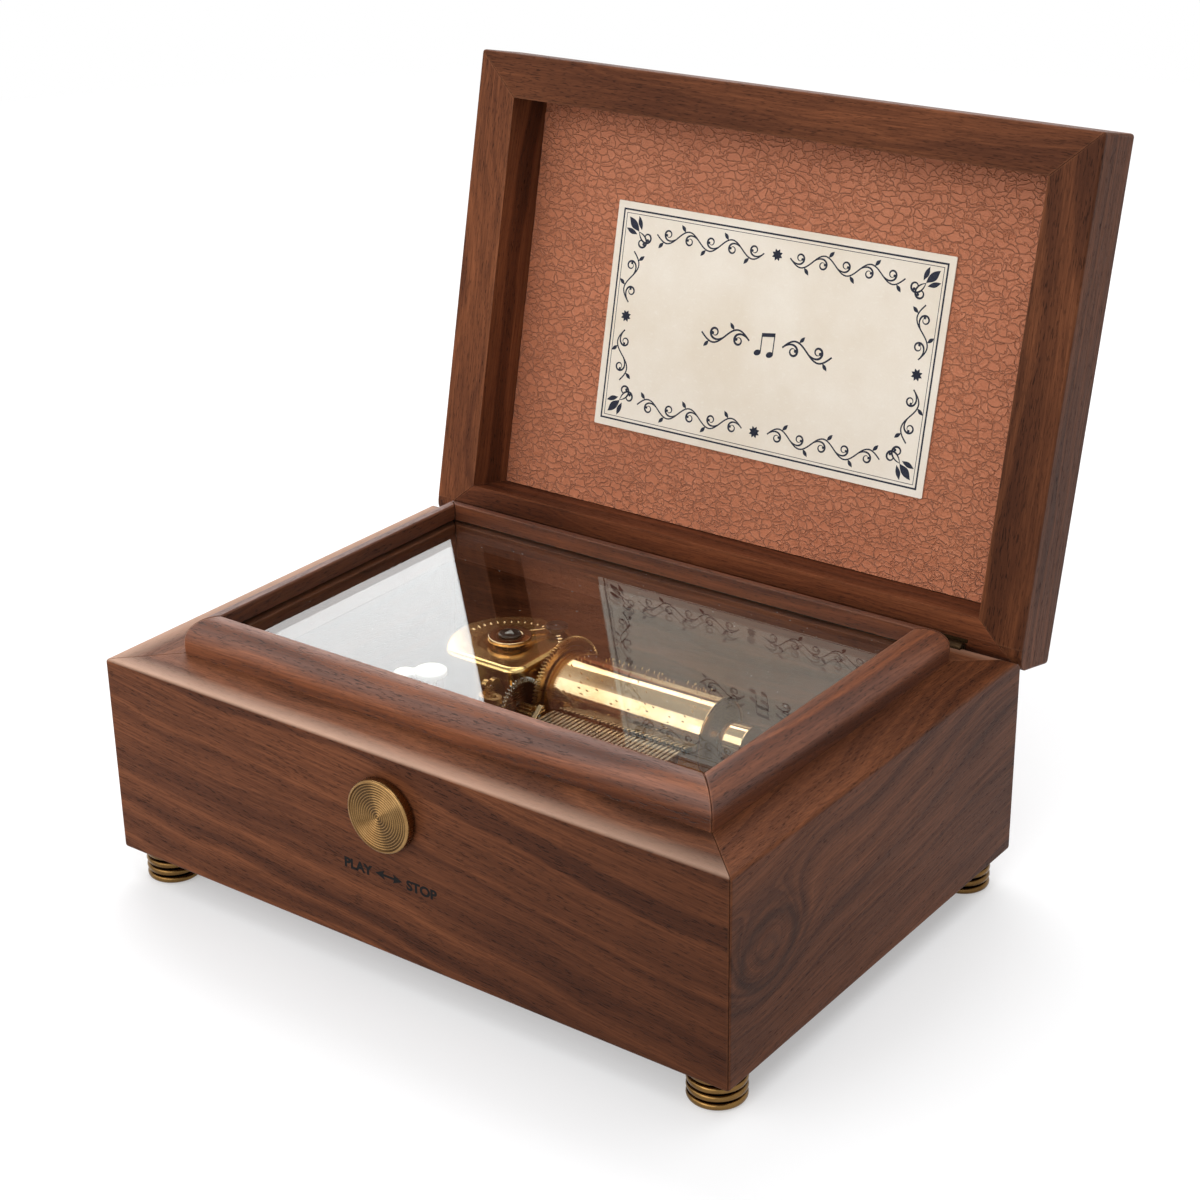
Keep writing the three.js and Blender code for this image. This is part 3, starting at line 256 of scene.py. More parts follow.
def add_floor():
    """A pale floor that keeps the object's shadow, and passes into the white backdrop far from it."""
    half = 4.0
    mesh = bpy.data.meshes.new("floor")
    corners = [(-half, -half, 0), (half, -half, 0), (half, half, 0), (-half, half, 0)]
    mesh.from_pydata(corners, [], [(0, 1, 2, 3)])
    material = bpy.data.materials.new("floor_paper")
    material.use_nodes = True
    material.node_tree.nodes.clear()
    n = Nodes(material.node_tree)
    seen = n.seen()
    paper = n.node("BsdfDiffuse", {"Color": (0.62, 0.62, 0.625, 1)}).outputs[0]
    glow = n.node("Emission", {"Strength": n.times(seen, 0.36)}).outputs[0]
    near = n.node("AddShader", {0: paper, 1: glow}).outputs[0]
    away = n.node("VectorMath", {0: n.coordinates("Object")}, operation="LENGTH").outputs["Value"]
    backdrop = n.node("Emission").outputs[0]
    whole = n.blended(n.times(n.span(away, 0.35, 0.9), seen), near, backdrop)
    n.node("OutputMaterial", {"Surface": whole})
    mesh.materials.append(material)
    linked("floor", mesh)


# ---------------- materials
def knotted(s, level, axes, offset, knot):
    """The growth level with its swell around a knot at (Y, Z, reach), and the knot's dark rings."""
    y, z, reach = knot
    across = s.minus(axes[0], at(0, y, 0).y / MM + offset[0])
    above = s.minus(axes[2], z + offset[2])
    far = s.plus(s.times(across, s.times(across, 0.55)), s.times(above, above))
    swell = s.math("EXPONENT", s.times(far, -1 / reach**2))
    level = s.plus(level, s.times(swell, 2.6 * reach))
    away = s.plus(s.math("SQRT", far), s.times(s.noise((0.22, 0.22, 0.3), 3.0), 2.6))
    rings = 0.0
    for size, blur, depth in ((3.6, 1.8, 0.4), (8.4, 2.2, 0.7), (11.6, 1.4, 0.3)):
        ring = s.span(s.math("ABSOLUTE", s.minus(away, size)), 0.1, blur, depth, 0.0)
        rings = s.math("MAXIMUM", rings, ring)
    return level, rings


def ledge_sheen_and_shade(s, wood, fade):
    """Painted sheen: paler wood on the ledge top, most of all at its outer edge. Towards the right end the
    board darkens with painted shade, by one less the fade."""
    x, y, z = s.node("SeparateXYZ", {0: s.coordinates("Object")}).outputs
    ends = s.minus(SIDE, s.math("ABSOLUTE", x))
    sides = s.math("MINIMUM", s.minus(y, FRONT), s.minus(BACK, y))
    # Painted sheen on the ledge top, strongest at the outer edge.
    painted_sheen = s.span(s.math("MINIMUM", ends, sides), 0.5 * MM, 6.0 * MM, 0.66, 0.02)
    painted_sheen = s.times(painted_sheen, s.span(z, (LEDGE - 0.5) * MM, LEDGE * MM))
    # Painted shade, deepening towards the right end of the board.
    painted_shade = s.span(x, -0.2 * SIDE, 0.9 * SIDE, 0.0, 1.0 - fade)
    return s.layered(wood, (painted_sheen, (200, 163, 140)), (painted_shade, (30, 15, 9)))


def edge_mask(s):
    """One on the rounded and sharp edges of a piece, nought on its flats."""
    soft = s.node("Bevel", {"Radius": 0.7 * MM}, samples=4).outputs[0]
    true = s.node("NewGeometry").outputs["Normal"]
    dot = s.node("VectorMath", {0: soft, 1: true}, operation="DOT_PRODUCT").outputs["Value"]
    return s.span(dot, 0.995, 0.90)


def walnut(node, shift, slant=0.0, knot=None, tone_and_light=1.0, red=0.0, ior=1.16, ledge=False,
           fade=1.0):
    """Oiled walnut: uneven growth bands, fibre, short dark pores, and a painted highlight on its edges. Its
    grain runs along the board, turned by the slant. Each board takes its figure from its own shift."""
    tilt = LID_ANGLE if "lid" in node else 0.0
    deep = "left" in node or "right" in node
    turn = (tilt + slant, 0.0, -pi / 2) if deep else (tilt, slant, 0.0)
    offset = (13.0 * shift, 7.0 * shift, 3.1 * shift)
    s = Shader("walnut_" + node, turn, offset)
    axes = s.node("SeparateXYZ", {0: s.place}).outputs
    warp = s.times(s.noise((0.010, 0.03, 0.03), 2.0), 22.0)
    wave = s.times(s.noise((0.045, 0.12, 0.16), 3.0), 3.0)
    level = s.plus(s.plus(axes[2], s.plus(warp, wave)), s.times(axes[1], 0.6))
    if knot:
        level, rings = knotted(s, level, axes, offset, knot)
    inputs = {"W": s.times(level, 0.19), "Detail": 5.0, "Roughness": 0.66, "Scale": 1.0}
    bands = s.node("TexNoise", inputs, noise_dimensions="1D").outputs[0]
    fibre = s.noise((0.07, 2.4, 2.4), 3.0, 0.65)
    cloud = s.noise((0.016, 0.05, 0.05), 3.0)
    pores = s.span(s.noise((0.5, 4.0, 4.0), 1.5, 0.5), 0.565, 0.67)
    pores = s.times(pores, s.span(bands, 0.38, 0.62, 1.0, 0.4))
    stops = [(0.34, (64, 35, 22)), (0.43, (85, 48, 30)), (0.50, (100, 58, 36)), (0.58, (113, 66, 41)),
             (0.70, (130, 79, 50))]
    wood = s.ramp(s.plus(s.times(bands, 0.62), s.times(cloud, 0.38)), stops)
    if knot:
        wood = s.mix(rings, wood, rgb(38, 22, 17))
    edge_highlight_patches = s.span(s.noise((0.25, 0.5, 0.5), 3.0), 0.30, 0.62, 0.25, 1.0)
    # Fibre and pores are the wood's own colour; the pale colour on the edges is a painted highlight, in
    # patches.
    wood = s.layered(wood, (s.span(fibre, 0.34, 0.66, 0.0, 0.55), (56, 30, 19)),
                     (s.times(pores, 0.78), (30, 17, 12)),
                     (s.times(s.times(edge_mask(s), edge_highlight_patches), 0.2), (164, 112, 80)))
    # Ledge boards take painted sheen on their tops, and the front board painted shade at its right end.
    if ledge:
        wood = ledge_sheen_and_shade(s, wood, fade)
    # The tone lightens or darkens the whole board: partly its own tone, partly painted sheen or shade for how
    # brightly its faces are lit.
    tint_and_light = (tone_and_light * (1 + 0.12 * red), tone_and_light * (1 - 0.04 * red), tone_and_light * (1 - 0.08 * red), 1)
    wood = s.mix(1.0, wood, tint_and_light, "MULTIPLY")
    sheen = s.plus(s.span(fibre, 0.3, 0.7, 0.38, 0.50), s.times(pores, 0.2))
    relief = s.minus(s.times(fibre, 0.35), pores)
    s.looks(Base_Color=wood, Roughness=sheen, IOR=ior, Normal=s.bump(relief, 0.035))
    return s.material


def metal(name, colour, dark, roughness, brushed=0.9, spots=0.0, scratch=0.006, dark_grooves=False):
    """Metal with cloudy tarnish, small spots, and fine marks whose direction comes from the brushed scale.
    With dark grooves, it is darker in the grooves that a piece has marked."""
    s = Shader(name)
    cloud = s.noise(0.11, 4.0, 0.6)
    marks = s.noise(brushed, 3.0, 0.7)
    spot = s.span(s.noise(1.4, 2.0), 0.66, 0.74)
    tint = s.layered(rgb(*colour), (s.span(cloud, 0.36, 0.66), dark), (s.times(spot, spots), (64, 44, 26)))
    rough = s.plus(s.span(marks, 0.3, 0.7, 0.8 * roughness, 1.25 * roughness),
                   s.span(cloud, 0.4, 0.7, 0.0, 0.35 * roughness))
    if dark_grooves:
        recess = s.node("Attribute", attribute_name="recess").outputs["Fac"]
        tint = s.mix(s.times(recess, 0.85), tint, rgb(50, 34, 18))
    s.looks(Base_Color=tint, Roughness=rough, Metallic=1.0, Normal=s.bump(marks, scratch))
    return s.material


def leather():
    """Rust leather: a net of creases with painted shade in them and painted highlights on the ridges beside
    them, finer wrinkles in places also with painted shade, soft clouds.
    """
    s = Shader("rust_leather")
    drift = s.node("TexNoise", {"Vector": s.stretched(0.42), "Scale": 1.0, "Detail": 2.5}).outputs["Color"]
    edges = []
    for cells, reach in (((0.36, 0.55, 0.6), 1.8), ((0.76, 0.98, 0.92), 1.5)):
        bend = s.node("VectorMath", {0: drift, 1: (reach, reach, reach)}, operation="MULTIPLY").outputs[0]
        bent = s.node("VectorMath", {0: s.stretched(cells), 1: bend}, operation="ADD").outputs[0]
        net = s.node("TexVoronoi", {"Vector": bent, "Scale": 1.0}, feature="DISTANCE_TO_EDGE")
        edges.append(net.outputs["Distance"])
    cloud = s.noise(0.05, 3.0)
    fine = s.noise(2.4, 3.0, 0.6)
    some = s.span(s.noise(0.16, 2.0), 0.38, 0.62, 0.1, 0.7)
    groove = s.span(edges[0], 0.01, 0.07, 1.0, 0.0)
    ridge = s.times(s.span(edges[0], 0.04, 0.10), s.span(edges[0], 0.10, 0.19, 1.0, 0.0))
    wrinkle = s.times(s.span(edges[1], 0.015, 0.09, 1.0, 0.0), some)
    height = s.minus(s.minus(s.times(ridge, 0.35), groove), s.times(wrinkle, 0.55))
    height = s.plus(height, s.times(fine, 0.22))
    # The creases and wrinkles take painted shade, and the ridges beside them a painted highlight, as raking
    # light would give.
    hide = s.layered(rgb(189, 115, 80), (s.span(cloud, 0.35, 0.65, 0.0, 0.5), (180, 106, 73)),
                     (s.times(wrinkle, 0.08), (140, 76, 50)), (s.times(ridge, 0.3), (212, 142, 105)),
                     (s.times(groove, 0.1), (132, 68, 43)),
                     (s.span(fine, 0.5, 0.72, 0.0, 0.12), (212, 144, 110)))
    rough = s.span(height, -1.0, 0.5, 0.72, 0.5)
    s.looks(Base_Color=hide, Roughness=rough, Specular_IOR_Level=0.35, Sheen_Weight=0.08,
            Normal=s.bump(height, 0.22))
    return s.material


def paper():
    """Cream card with a faint tooth, soft stains and paler fibres."""
    s = Shader("card_paper")
    stain = s.noise(0.045, 4.0, 0.6)
    tooth = s.noise(2.4, 4.0, 0.7)
    fibre = s.span(s.noise((0.7, 4.5, 0.7), 2.0), 0.6, 0.75, 0.0, 0.3)
    tint = s.ramp(stain, [(0.3, (232, 219, 200)), (0.5, (238, 227, 211)), (0.7, (243, 234, 220))])
    tint = s.layered(tint, (s.span(tooth, 0.35, 0.7, 0.0, 0.12), (214, 198, 174)), (fibre, (246, 239, 227)))
    s.looks(Base_Color=tint, Roughness=0.78, Normal=s.bump(tooth, 0.012))
    return s.material


def ink(name, colour, grain):
    """Printer's ink, which thins a little where the surface below is rough."""
    s = Shader(name)
    thin = s.span(s.noise(2.8, 3.0, 0.7), 0.5, 0.75, 0.0, grain)
    tint = s.mix(thin, rgb(*colour), rgb(*(min(255, c + 46) for c in colour)))
    rough = s.span(thin, 0.0, 1.0, 0.5, 0.75)
    s.looks(Base_Color=tint, Roughness=rough, Specular_IOR_Level=0.1, Normal=s.bump(thin, 0.008))
    return s.material


def white_plastic():
    s = Shader("moulded_white")
    flow = s.noise((0.5, 0.5, 0.9), 3.0)
    tint = s.ramp(flow, [(0.35, (206, 201, 190)), (0.65, (220, 216, 207))])
    s.looks(Base_Color=tint, Roughness=s.span(flow, 0.3, 0.7, 0.34, 0.48), Normal=s.bump(flow, 0.01))
    return s.material


def pane_glass():
    """Float glass: clear, with specks of dust on it and green sides. It lets lamp light through."""
    s = Shader("clear_glass")
    grain = s.node("TexVoronoi", {"Vector": s.stretched(0.42), "Scale": 1.0}).outputs["Distance"]
    size = s.span(s.noise(0.2, 1.0), 0.45, 0.65, 0.0, 0.062)
    dust = s.times(s.math("LESS_THAN", grain, size), 0.55)
    s.looks(Base_Color=(0.955, 0.98, 0.975, 1), Roughness=0.0, Transmission_Weight=1.0, IOR=1.5)
    speck = s.node("BsdfDiffuse", {"Color": (0.8, 0.79, 0.77, 1)}).outputs[0]
    dusty = s.blended(dust, s.surface.outputs[0], speck)
    facing = s.node("SeparateXYZ", {0: s.node("NewGeometry").outputs["True Normal"]}).outputs[2]
    side = s.math("LESS_THAN", s.math("ABSOLUTE", facing), 0.5)
    green = s.node("BsdfDiffuse", {"Color": rgb(34, 52, 48)}).outputs[0]
    path = s.node("LightPath").outputs
    through = s.math("MAXIMUM", path["Is Shadow Ray"], path["Is Diffuse Ray"])
    clear = s.node("BsdfTransparent", {"Color": (0.93, 0.95, 0.94, 1)}).outputs[0]
    whole = s.blended(through, s.blended(side, dusty, green), clear)
    s.feed(s.tree.nodes["Material Output"], "Surface", whole)
    return s.material


# ---------------- bodies in mesh code
ALONG_X = Matrix(((0, 0, 1, 0), (1, 0, 0, 0), (0, 1, 0, 0), (0, 0, 0, 1)))  # x, y, z become Y, Z, X
TO_FRONT = Matrix(((1, 0, 0, 0), (0, 0, -1, 0), (0, 1, 0, 0), (0, 0, 0, 1)))  # height becomes -Y


def shares(steps):
    """Even steps from nought to one."""
    return [i / steps for i in range(steps + 1)]


def angles(count):
    return [tau * i / count for i in range(count)]


def polar(radius, angle):
    return radius * cos(angle), radius * sin(angle)


def outward(bm):
    """The body with its faces turned outwards."""
    bmesh.ops.recalc_face_normals(bm, faces=bm.faces)
    return bm


def spun(columns, around=True, lean=0.0):
    """A closed body from pairs of an angle and the outline there of (radius, height), which leans along the
    turn. An outline that doesn't start on the axis closes on itself."""
    bm = bmesh.new()
    grid = [[bm.verts.new((*polar(r, angle + lean * h), h)) for r, h in outline]
            for angle, outline in columns]
    rows = len(grid[0])
    start_radius = columns[0][1][0][0]
    spans = rows if start_radius > 1e-6 else rows - 1
    for i in range(len(grid) if around else len(grid) - 1):
        here, there = grid[i], grid[(i + 1) % len(grid)]
        for k in range(spans):
            up = (k + 1) % rows
            bm.faces.new((here[k], there[k], there[up], here[up]))
    if not around:
        bm.faces.new(grid[0])
        bm.faces.new(grid[-1])
    bmesh.ops.remove_doubles(bm, verts=bm.verts, dist=1e-4)
    return outward(bm)


def lathe(profile, segments=64):
    """A turned body around the Z axis."""
    return spun([(angle, profile) for angle in angles(segments)])


def stepped(low, *steps):
    """An outline up from the axis in steps of (radius, height), for a solid turned body."""
    line = [(0.0, low)]
    for radius, high in steps:
        line += [(radius, line[-1][1]), (radius, high)]
    return [*line, (0.0, line[-1][1])]


def soften(points, radius, steps=3, closed=False):
    """The same line of points with its corners rounded."""
    line = []
    count = len(points)
    for i, point in enumerate(points):
        if not closed and i in (0, count - 1):
            line.append(tuple(point))
            continue
        p, a, b = Vector(point), Vector(points[i - 1]), Vector(points[(i + 1) % count])
        start = p + (a - p).normalized() * min(radius, 0.45 * (a - p).length)
        end = p + (b - p).normalized() * min(radius, 0.45 * (b - p).length)
        for t in shares(steps):
            line.append(tuple(start * (1 - t) ** 2 + p * (2 * t * (1 - t)) + end * t**2))
    return line


def skin(bm, one, two):
    """Faces between two closed loops of as many points."""
    for i in range(len(one)):
        k = (i + 1) % len(one)
        bm.faces.new((one[i], one[k], two[k], two[i]))


def lofted(loops):
    """A body through closed loops of points, filled at both ends."""
    bm = bmesh.new()
    rows = [[bm.verts.new(point) for point in loop] for loop in loops]
    for one, two in zip(rows, rows[1:]):
        skin(bm, one, two)
    bm.faces.new(rows[0])
    bm.faces.new(rows[-1])
    return outward(bm)


def prism(points, low, high):
    """A flat outline raised from one height to another."""
    return lofted([[(u, v, h) for u, v in points] for h in (low, high)])


def block(x, y, z):
    return prism([(x[0], y[0]), (x[1], y[0]), (x[1], y[1]), (x[0], y[1])], *z)


def meshed(name, bm):
    mesh = bpy.data.meshes.new(name)
    bm.to_mesh(mesh)
    return mesh


def joined(*bodies):
    """One body of several."""
    whole = bmesh.new()
    for body in bodies:
        mesh = meshed("part", body)
        whole.from_mesh(mesh)
        bpy.data.meshes.remove(mesh)
    return whole


def moved(bm, matrix):
    bm.transform(matrix)
    return bm


def carved(bm, cutter):
    """The body with another cut out of it."""
    whole, tool = linked("part", meshed("part", bm)), linked("part", meshed("part", cutter))
    cut = whole.modifiers.new("cut", "BOOLEAN")
    adjusted(cut, operation="DIFFERENCE", solver="EXACT", object=tool)
    bpy.context.view_layer.update()
    result = bmesh.new()
    result.from_object(whole, bpy.context.evaluated_depsgraph_get())
    for thing in (whole, tool):
        mesh = thing.data
        bpy.data.objects.remove(thing)
        bpy.data.meshes.remove(mesh)
    return result


def drawn(curve):
    """The body of a curve or a text."""
    thing = bpy.data.objects.new("drawn", curve)
    mesh = bpy.data.meshes.new_from_object(thing)
    bm = bmesh.new()
    bm.from_mesh(mesh)
    bpy.data.objects.remove(thing)
    bpy.data.meshes.remove(mesh)
    return bm


def thickened(bm, height):
    """A solid body from a flat one, with its faces in the same order each time."""
    faces, rims = list(bm.faces), [edge for edge in bm.edges if edge.is_boundary]
    bm.verts.index_update()
    raised = [bm.verts.new((v.co.x, v.co.y, height)) for v in list(bm.verts)]
    for face in faces:
        bm.faces.new([raised[v.index] for v in face.verts])
    for edge in rims:
        a, b = edge.verts
        bm.faces.new((a, b, raised[b.index], raised[a.index]))
    return outward(bm)


def marked(bm, depth):
    """Marks how far each point lies in a groove, from nought to one, where the metal is darkened."""
    layer = bm.verts.layers.float.new("recess")
    for vert in bm.verts:
        vert[layer] = min(1.0, max(0.0, depth(hypot(vert.co.x, vert.co.y), vert.co.z)))
    return bm


def placed(name, bm, material, sharp, like=None, stands=True):
    """Makes a piece from a body in the row frame. It rides as the CAD node called like does, or as the one
    that its name starts with, and stands for it if asked. Edges over the sharp angle, in degrees, show."""
    like = like or name.rsplit("_", 1)[0]
    mesh = meshed(name, bm)
    bm.free()
    mesh.shade_smooth()
    mesh.set_sharp_from_angle(angle=radians(sharp))
    mesh.materials.clear()
    mesh.materials.append(material)
    piece = linked(name, mesh)
    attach(piece, BODY[like])
    if stands:
        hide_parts(like)
    return piece


def soft_edges(piece, width, segments=2, angle=40):
    bevel = piece.modifiers.new("edges", "BEVEL")
    adjusted(bevel, width=width * MM, segments=segments, limit_method="ANGLE",
             angle_limit=radians(angle), use_clamp_overlap=True, harden_normals=True)


def make(name, bm, material, sharp=32, edges=0.0, like=None, lid=False, stands=True):
    """Makes a piece from a body in case millimetres, or in those of the closed lid."""
    if lid:
        bm.transform(LID_OPEN)
    piece = placed(name, moved(bm, TO_ROW), material, sharp, like, stands)
    if edges:
        soft_edges(piece, edges)


def refined(node, material, edges=0.1, sharp=42, segments=2):
    """A copy of a CAD node with clean faces, soft edges and smooth shading, which stands for it."""
    bm = bmesh.new()
    bm.from_mesh(NODES[node].data)
    bmesh.ops.remove_doubles(bm, verts=bm.verts, dist=0.002 * MM)
    bmesh.ops.dissolve_limit(bm, angle_limit=radians(0.8), verts=bm.verts, edges=bm.edges)
    piece = placed(node + "_fine", bm, material, sharp)
    soft_edges(piece, edges, segments, sharp)
    piece.modifiers.new("normals", "WEIGHTED_NORMAL").keep_sharp = True


def dress(node, material):
    """A better material on a CAD node that stays as it is."""
    materials = NODES[node].data.materials
    if not materials:
        materials.append(material)
    for i in range(len(materials)):
        materials[i] = material


# ---------------- case and lid
def wooden_parts():
    # Tones are partly each board's own and partly painted light: the front and right rims lifted for painted
    # sheen, the lid rails lighter or darker as their faces are lit.
    boards = {
        "case_front_board": dict(shift=21.4, slant=-0.1, tone_and_light=1.18, ledge=True, fade=0.6),
        "case_back_board": dict(shift=2.3, slant=0.05, ledge=True),
        "case_left_board": dict(shift=3.1, slant=0.08, tone_and_light=1.1, ledge=True),
        "case_right_board": dict(shift=4.0, slant=-0.1, knot=(17.0, 39.0, 9.0)),
        "rim_front": dict(shift=5.2, slant=0.03, red=0.15, tone_and_light=1.6, ior=1.5),
        "rim_back": dict(shift=6.4, red=0.6, tone_and_light=1.1, ior=1.4),
        "rim_left": dict(shift=7.5, slant=-0.05, red=0.4, tone_and_light=1.1, ior=1.4),
        "rim_right": dict(shift=8.1, slant=0.04, red=0.3, tone_and_light=1.5, ior=1.45),
        "base_board": dict(shift=9.6, red=0.5),
        "lid_rail_front": dict(shift=10.3, tone_and_light=1.14),
        "lid_rail_back": dict(shift=11.7, red=0.7),
        "lid_rail_left": dict(shift=12.2, slant=0.03, tone_and_light=1.45),
        "lid_rail_right": dict(shift=13.9, tone_and_light=0.95),
        "lid_top_panel": dict(shift=14.5, slant=0.06),
    }
    for node, grain in boards.items():
        refined(node, walnut(node, **grain), edges=0.2 if "lid" in node else 0.36)


def hide_face(x, y):
    """Height of the glued hide's face, with soft swells between the creases of its grain."""
    wide, fine = noise.noise(Vector((0.30 * x, 0.42 * y, 4.0))), noise.noise(Vector((0.8 * x, 0.9 * y, 8.0)))
    return LINING_FACE + 0.08 - 0.13 * (wide + 0.5 * fine)


def lid_leather(material):
    """The lining as a sheet whose face swells and dips as a glued hide does."""
    left, right, front, rear = -71.1, 71.1, 9.3, 105.1
    glued, step = 68.8, 0.6
    across, down = round((right - left) / step), round((rear - front) / step)
    xs = [left + (right - left) * t for t in shares(across)]
    ys = [front + (rear - front) * t for t in shares(down)]
    bm = bmesh.new()
    grid = [[bm.verts.new((x, y, hide_face(x, y))) for x in xs] for y in ys]
    for here, there in zip(grid, grid[1:]):
        for i in range(across):
            bm.faces.new((here[i], there[i], there[i + 1], here[i + 1]))
    edge = grid[0][:-1] + [row[-1] for row in grid[:-1]] + grid[-1][:0:-1] + [row[0] for row in grid[:0:-1]]
    back = [bm.verts.new((v.co.x, v.co.y, glued)) for v in edge]
    skin(bm, edge, back)
    bm.faces.new(back)
    make("lid_leather", outward(bm), material, 60, like="lid_lining", lid=True)


# The card's own design: lines with a swelling width, drawn in the card's plane from its middle.
CARD_MIDDLE = (0.6, 57.5)
CARD_HALF = (46.2, 27.5)
INK_T = 0.02


def ribbon(path, widths):
    """A thin closed strip along a line in the plane, with a width at each point."""
    loops = []
    for i, (x, y) in enumerate(path):
        before, after = Vector(path[max(0, i - 1)]), Vector(path[min(len(path) - 1, i + 1)])
        side = (after - before).normalized().orthogonal() * widths[i] / 2
        left, right = (x + side.x, y + side.y), (x - side.x, y - side.y)
        loops.append([(*left, 0.0), (*right, 0.0), (*right, INK_T), (*left, INK_T)])
    return lofted(loops)


def flourish(start, heading, length, turn, width, power):
    """A line that leaves its start along the heading and winds up into a curl. The heading and the whole turn
    are in degrees, and a higher power keeps it straight for longer. It swells and ends in a small round."""
    steps = 60
    x, y = start
    angle = radians(heading)
    path, widths = [(x, y)], [0.12 * width]
    for t in shares(steps)[1:]:
        angle += radians(turn * (power + 1) * t**power) / steps
        u, v = polar(length / steps, angle)
        x, y = x + u, y + v
        path.append((x, y))
        widths.append(width * (0.25 + 0.75 * sin(pi * min(1.0, 1.05 * t)) ** 0.8))
    dot = [(x + 0.72 * width * cos(a), y + 0.72 * width * sin(a)) for a in angles(10)]
    return joined(ribbon(path, widths), prism(dot, 0.0, 0.9 * INK_T))


def leaf(start, heading, length, width):
    """A pointed leaf, with one side fuller than the other."""
    steps = shares(12)
    along = Vector(polar(1, radians(heading)))
    half = Vector((-along.y, along.x)) * width * 0.5
    sides = [(t, 1, 0.9) for t in steps] + [(t, -1, 1.4) for t in steps[-2:0:-1]]
    edge = [Vector(start) + along * length * t + half * hand * sin(pi * t) ** power
            for t, hand, power in sides]
    return prism([tuple(p) for p in edge], 0.0, INK_T)


def vine(length, waves, high=1.8, width=0.4):
    """A scroll along X from the origin: a waving stem with a curl in each hollow and leaves on its crests."""
    step = length / waves
    stem = [(step * i / 12, high * sin(pi * i / 12)) for i in range(waves * 12 + 1)]
    parts = [ribbon(stem, [0.85 * width] * len(stem))]
    for k in range(waves):
        up = 1 if k % 2 == 0 else -1
        root = ((k + 0.05) * step, 0.2 * up)
        parts.append(flourish(root, 38 * up, 1.5 * step, -455 * up, 1.15 * width, 0.8))
        parts.append(leaf(((k + 0.66) * step, 0.9 * up * high), 50 * up, 2.1, 0.9))
    return joined(*parts)


def corner_motif():
    """Ornament of one corner, for the corner where both coordinates are negative."""
    x, y = -39.4, -20.6
    return joined(
        leaf((x, y), 225, 4.6, 1.9), leaf((x + 0.7, y - 0.5), 250, 3.5, 1.2),
        leaf((x - 0.5, y + 0.7), 200, 3.5, 1.2), flourish((x, y), 18, 9.6, 440, 0.5, 0.9),
        flourish((x, y), 72, 9.6, -440, 0.5, 0.9),
    )


def notes():
    """Two quavers under one beam."""
    parts = []
    for x in (-2.0, 1.4):
        head = [(1.0 * cos(a), 0.68 * sin(a)) for a in angles(20)]
        parts.append(moved(prism(head, 0.0, INK_T), to(x, -2.3, 0) @ turned(0.4)))
        parts.append(block((x + 0.66, x + 0.94), (-2.2, 2.5 + 0.13 * x), (0.0, INK_T)))
    parts.append(prism([(-1.34, 1.55), (2.34, 2.05), (2.34, 2.95), (-1.34, 2.45)], 0.0, INK_T))
    return joined(*parts)


def rosette(x, y):
    return moved(joined(*(leaf((0.0, 0.0), 45 * i + 22.5, 1.5, 0.7) for i in range(8))), to(x, y, 0))


def frame_line(inset, width):
    """A printed line around the card, that far inside its edge, as four bars."""
    u, v, h = CARD_HALF[0] - inset, CARD_HALF[1] - inset, width / 2
    bars = [((-u - h, u + h), (y - h, y + h)) for y in (-v, v)]
    bars += [((x - h, x + h), (-v + h, v - h)) for x in (-u, u)]
    return joined(*(block(*bar, (0.0, INK_T)) for bar in bars))


def mirrored(bm, both=True):
    """Copies of a motif on both sides of the card's middle, in X and if asked in Y."""
    copies = []
    for sx in (1, -1):
        for sy in (1, -1) if both else (1,):
            copies.append(outward(moved(joined(bm), Matrix.Diagonal((sx, sy, 1, 1)))))
    return joined(*copies)


def card(sheet, print_ink):
    (x, y), (wide, deep), thick, corner = CARD_MIDDLE, CARD_HALF, 0.3, 0.35
    outline = soften([(-wide, -deep), (wide, -deep), (wide, deep), (-wide, deep)], corner, 4, closed=True)
    body = moved(prism(outline, CARD_FACE, CARD_FACE + thick), to(x, y, 0))
    make("card_sheet", body, sheet, edges=0.05, like="lid_card", lid=True)
    side = moved(vine(30.5, 5), to(3.6, -20.8, 0))
    end = moved(vine(12.4, 2), to(-40.2, 3.4, 0) @ turned(pi / 2))
    middle = moved(vine(13.5, 2, 2.0, 0.5), to(4.6, 0.0, 0))
    rosettes = [rosette(u, v) for u, v in ((0, -21.0), (0, 21.0), (-40.4, 0), (40.4, 0))]
    drawing = joined(
        frame_line(1.9, 0.42), frame_line(2.75, 0.14), mirrored(corner_motif()), mirrored(side),
        mirrored(end), mirrored(middle, both=False), *rosettes, notes(),
    )
    # The drawing is seen from below the closed lid, with its top towards the front of the lid.
    drawing.transform(to(x, y, CARD_FACE) @ turned(pi, "X"))
    make("card_print", drawing, print_ink, 60, like="lid_card", lid=True, stands=False)


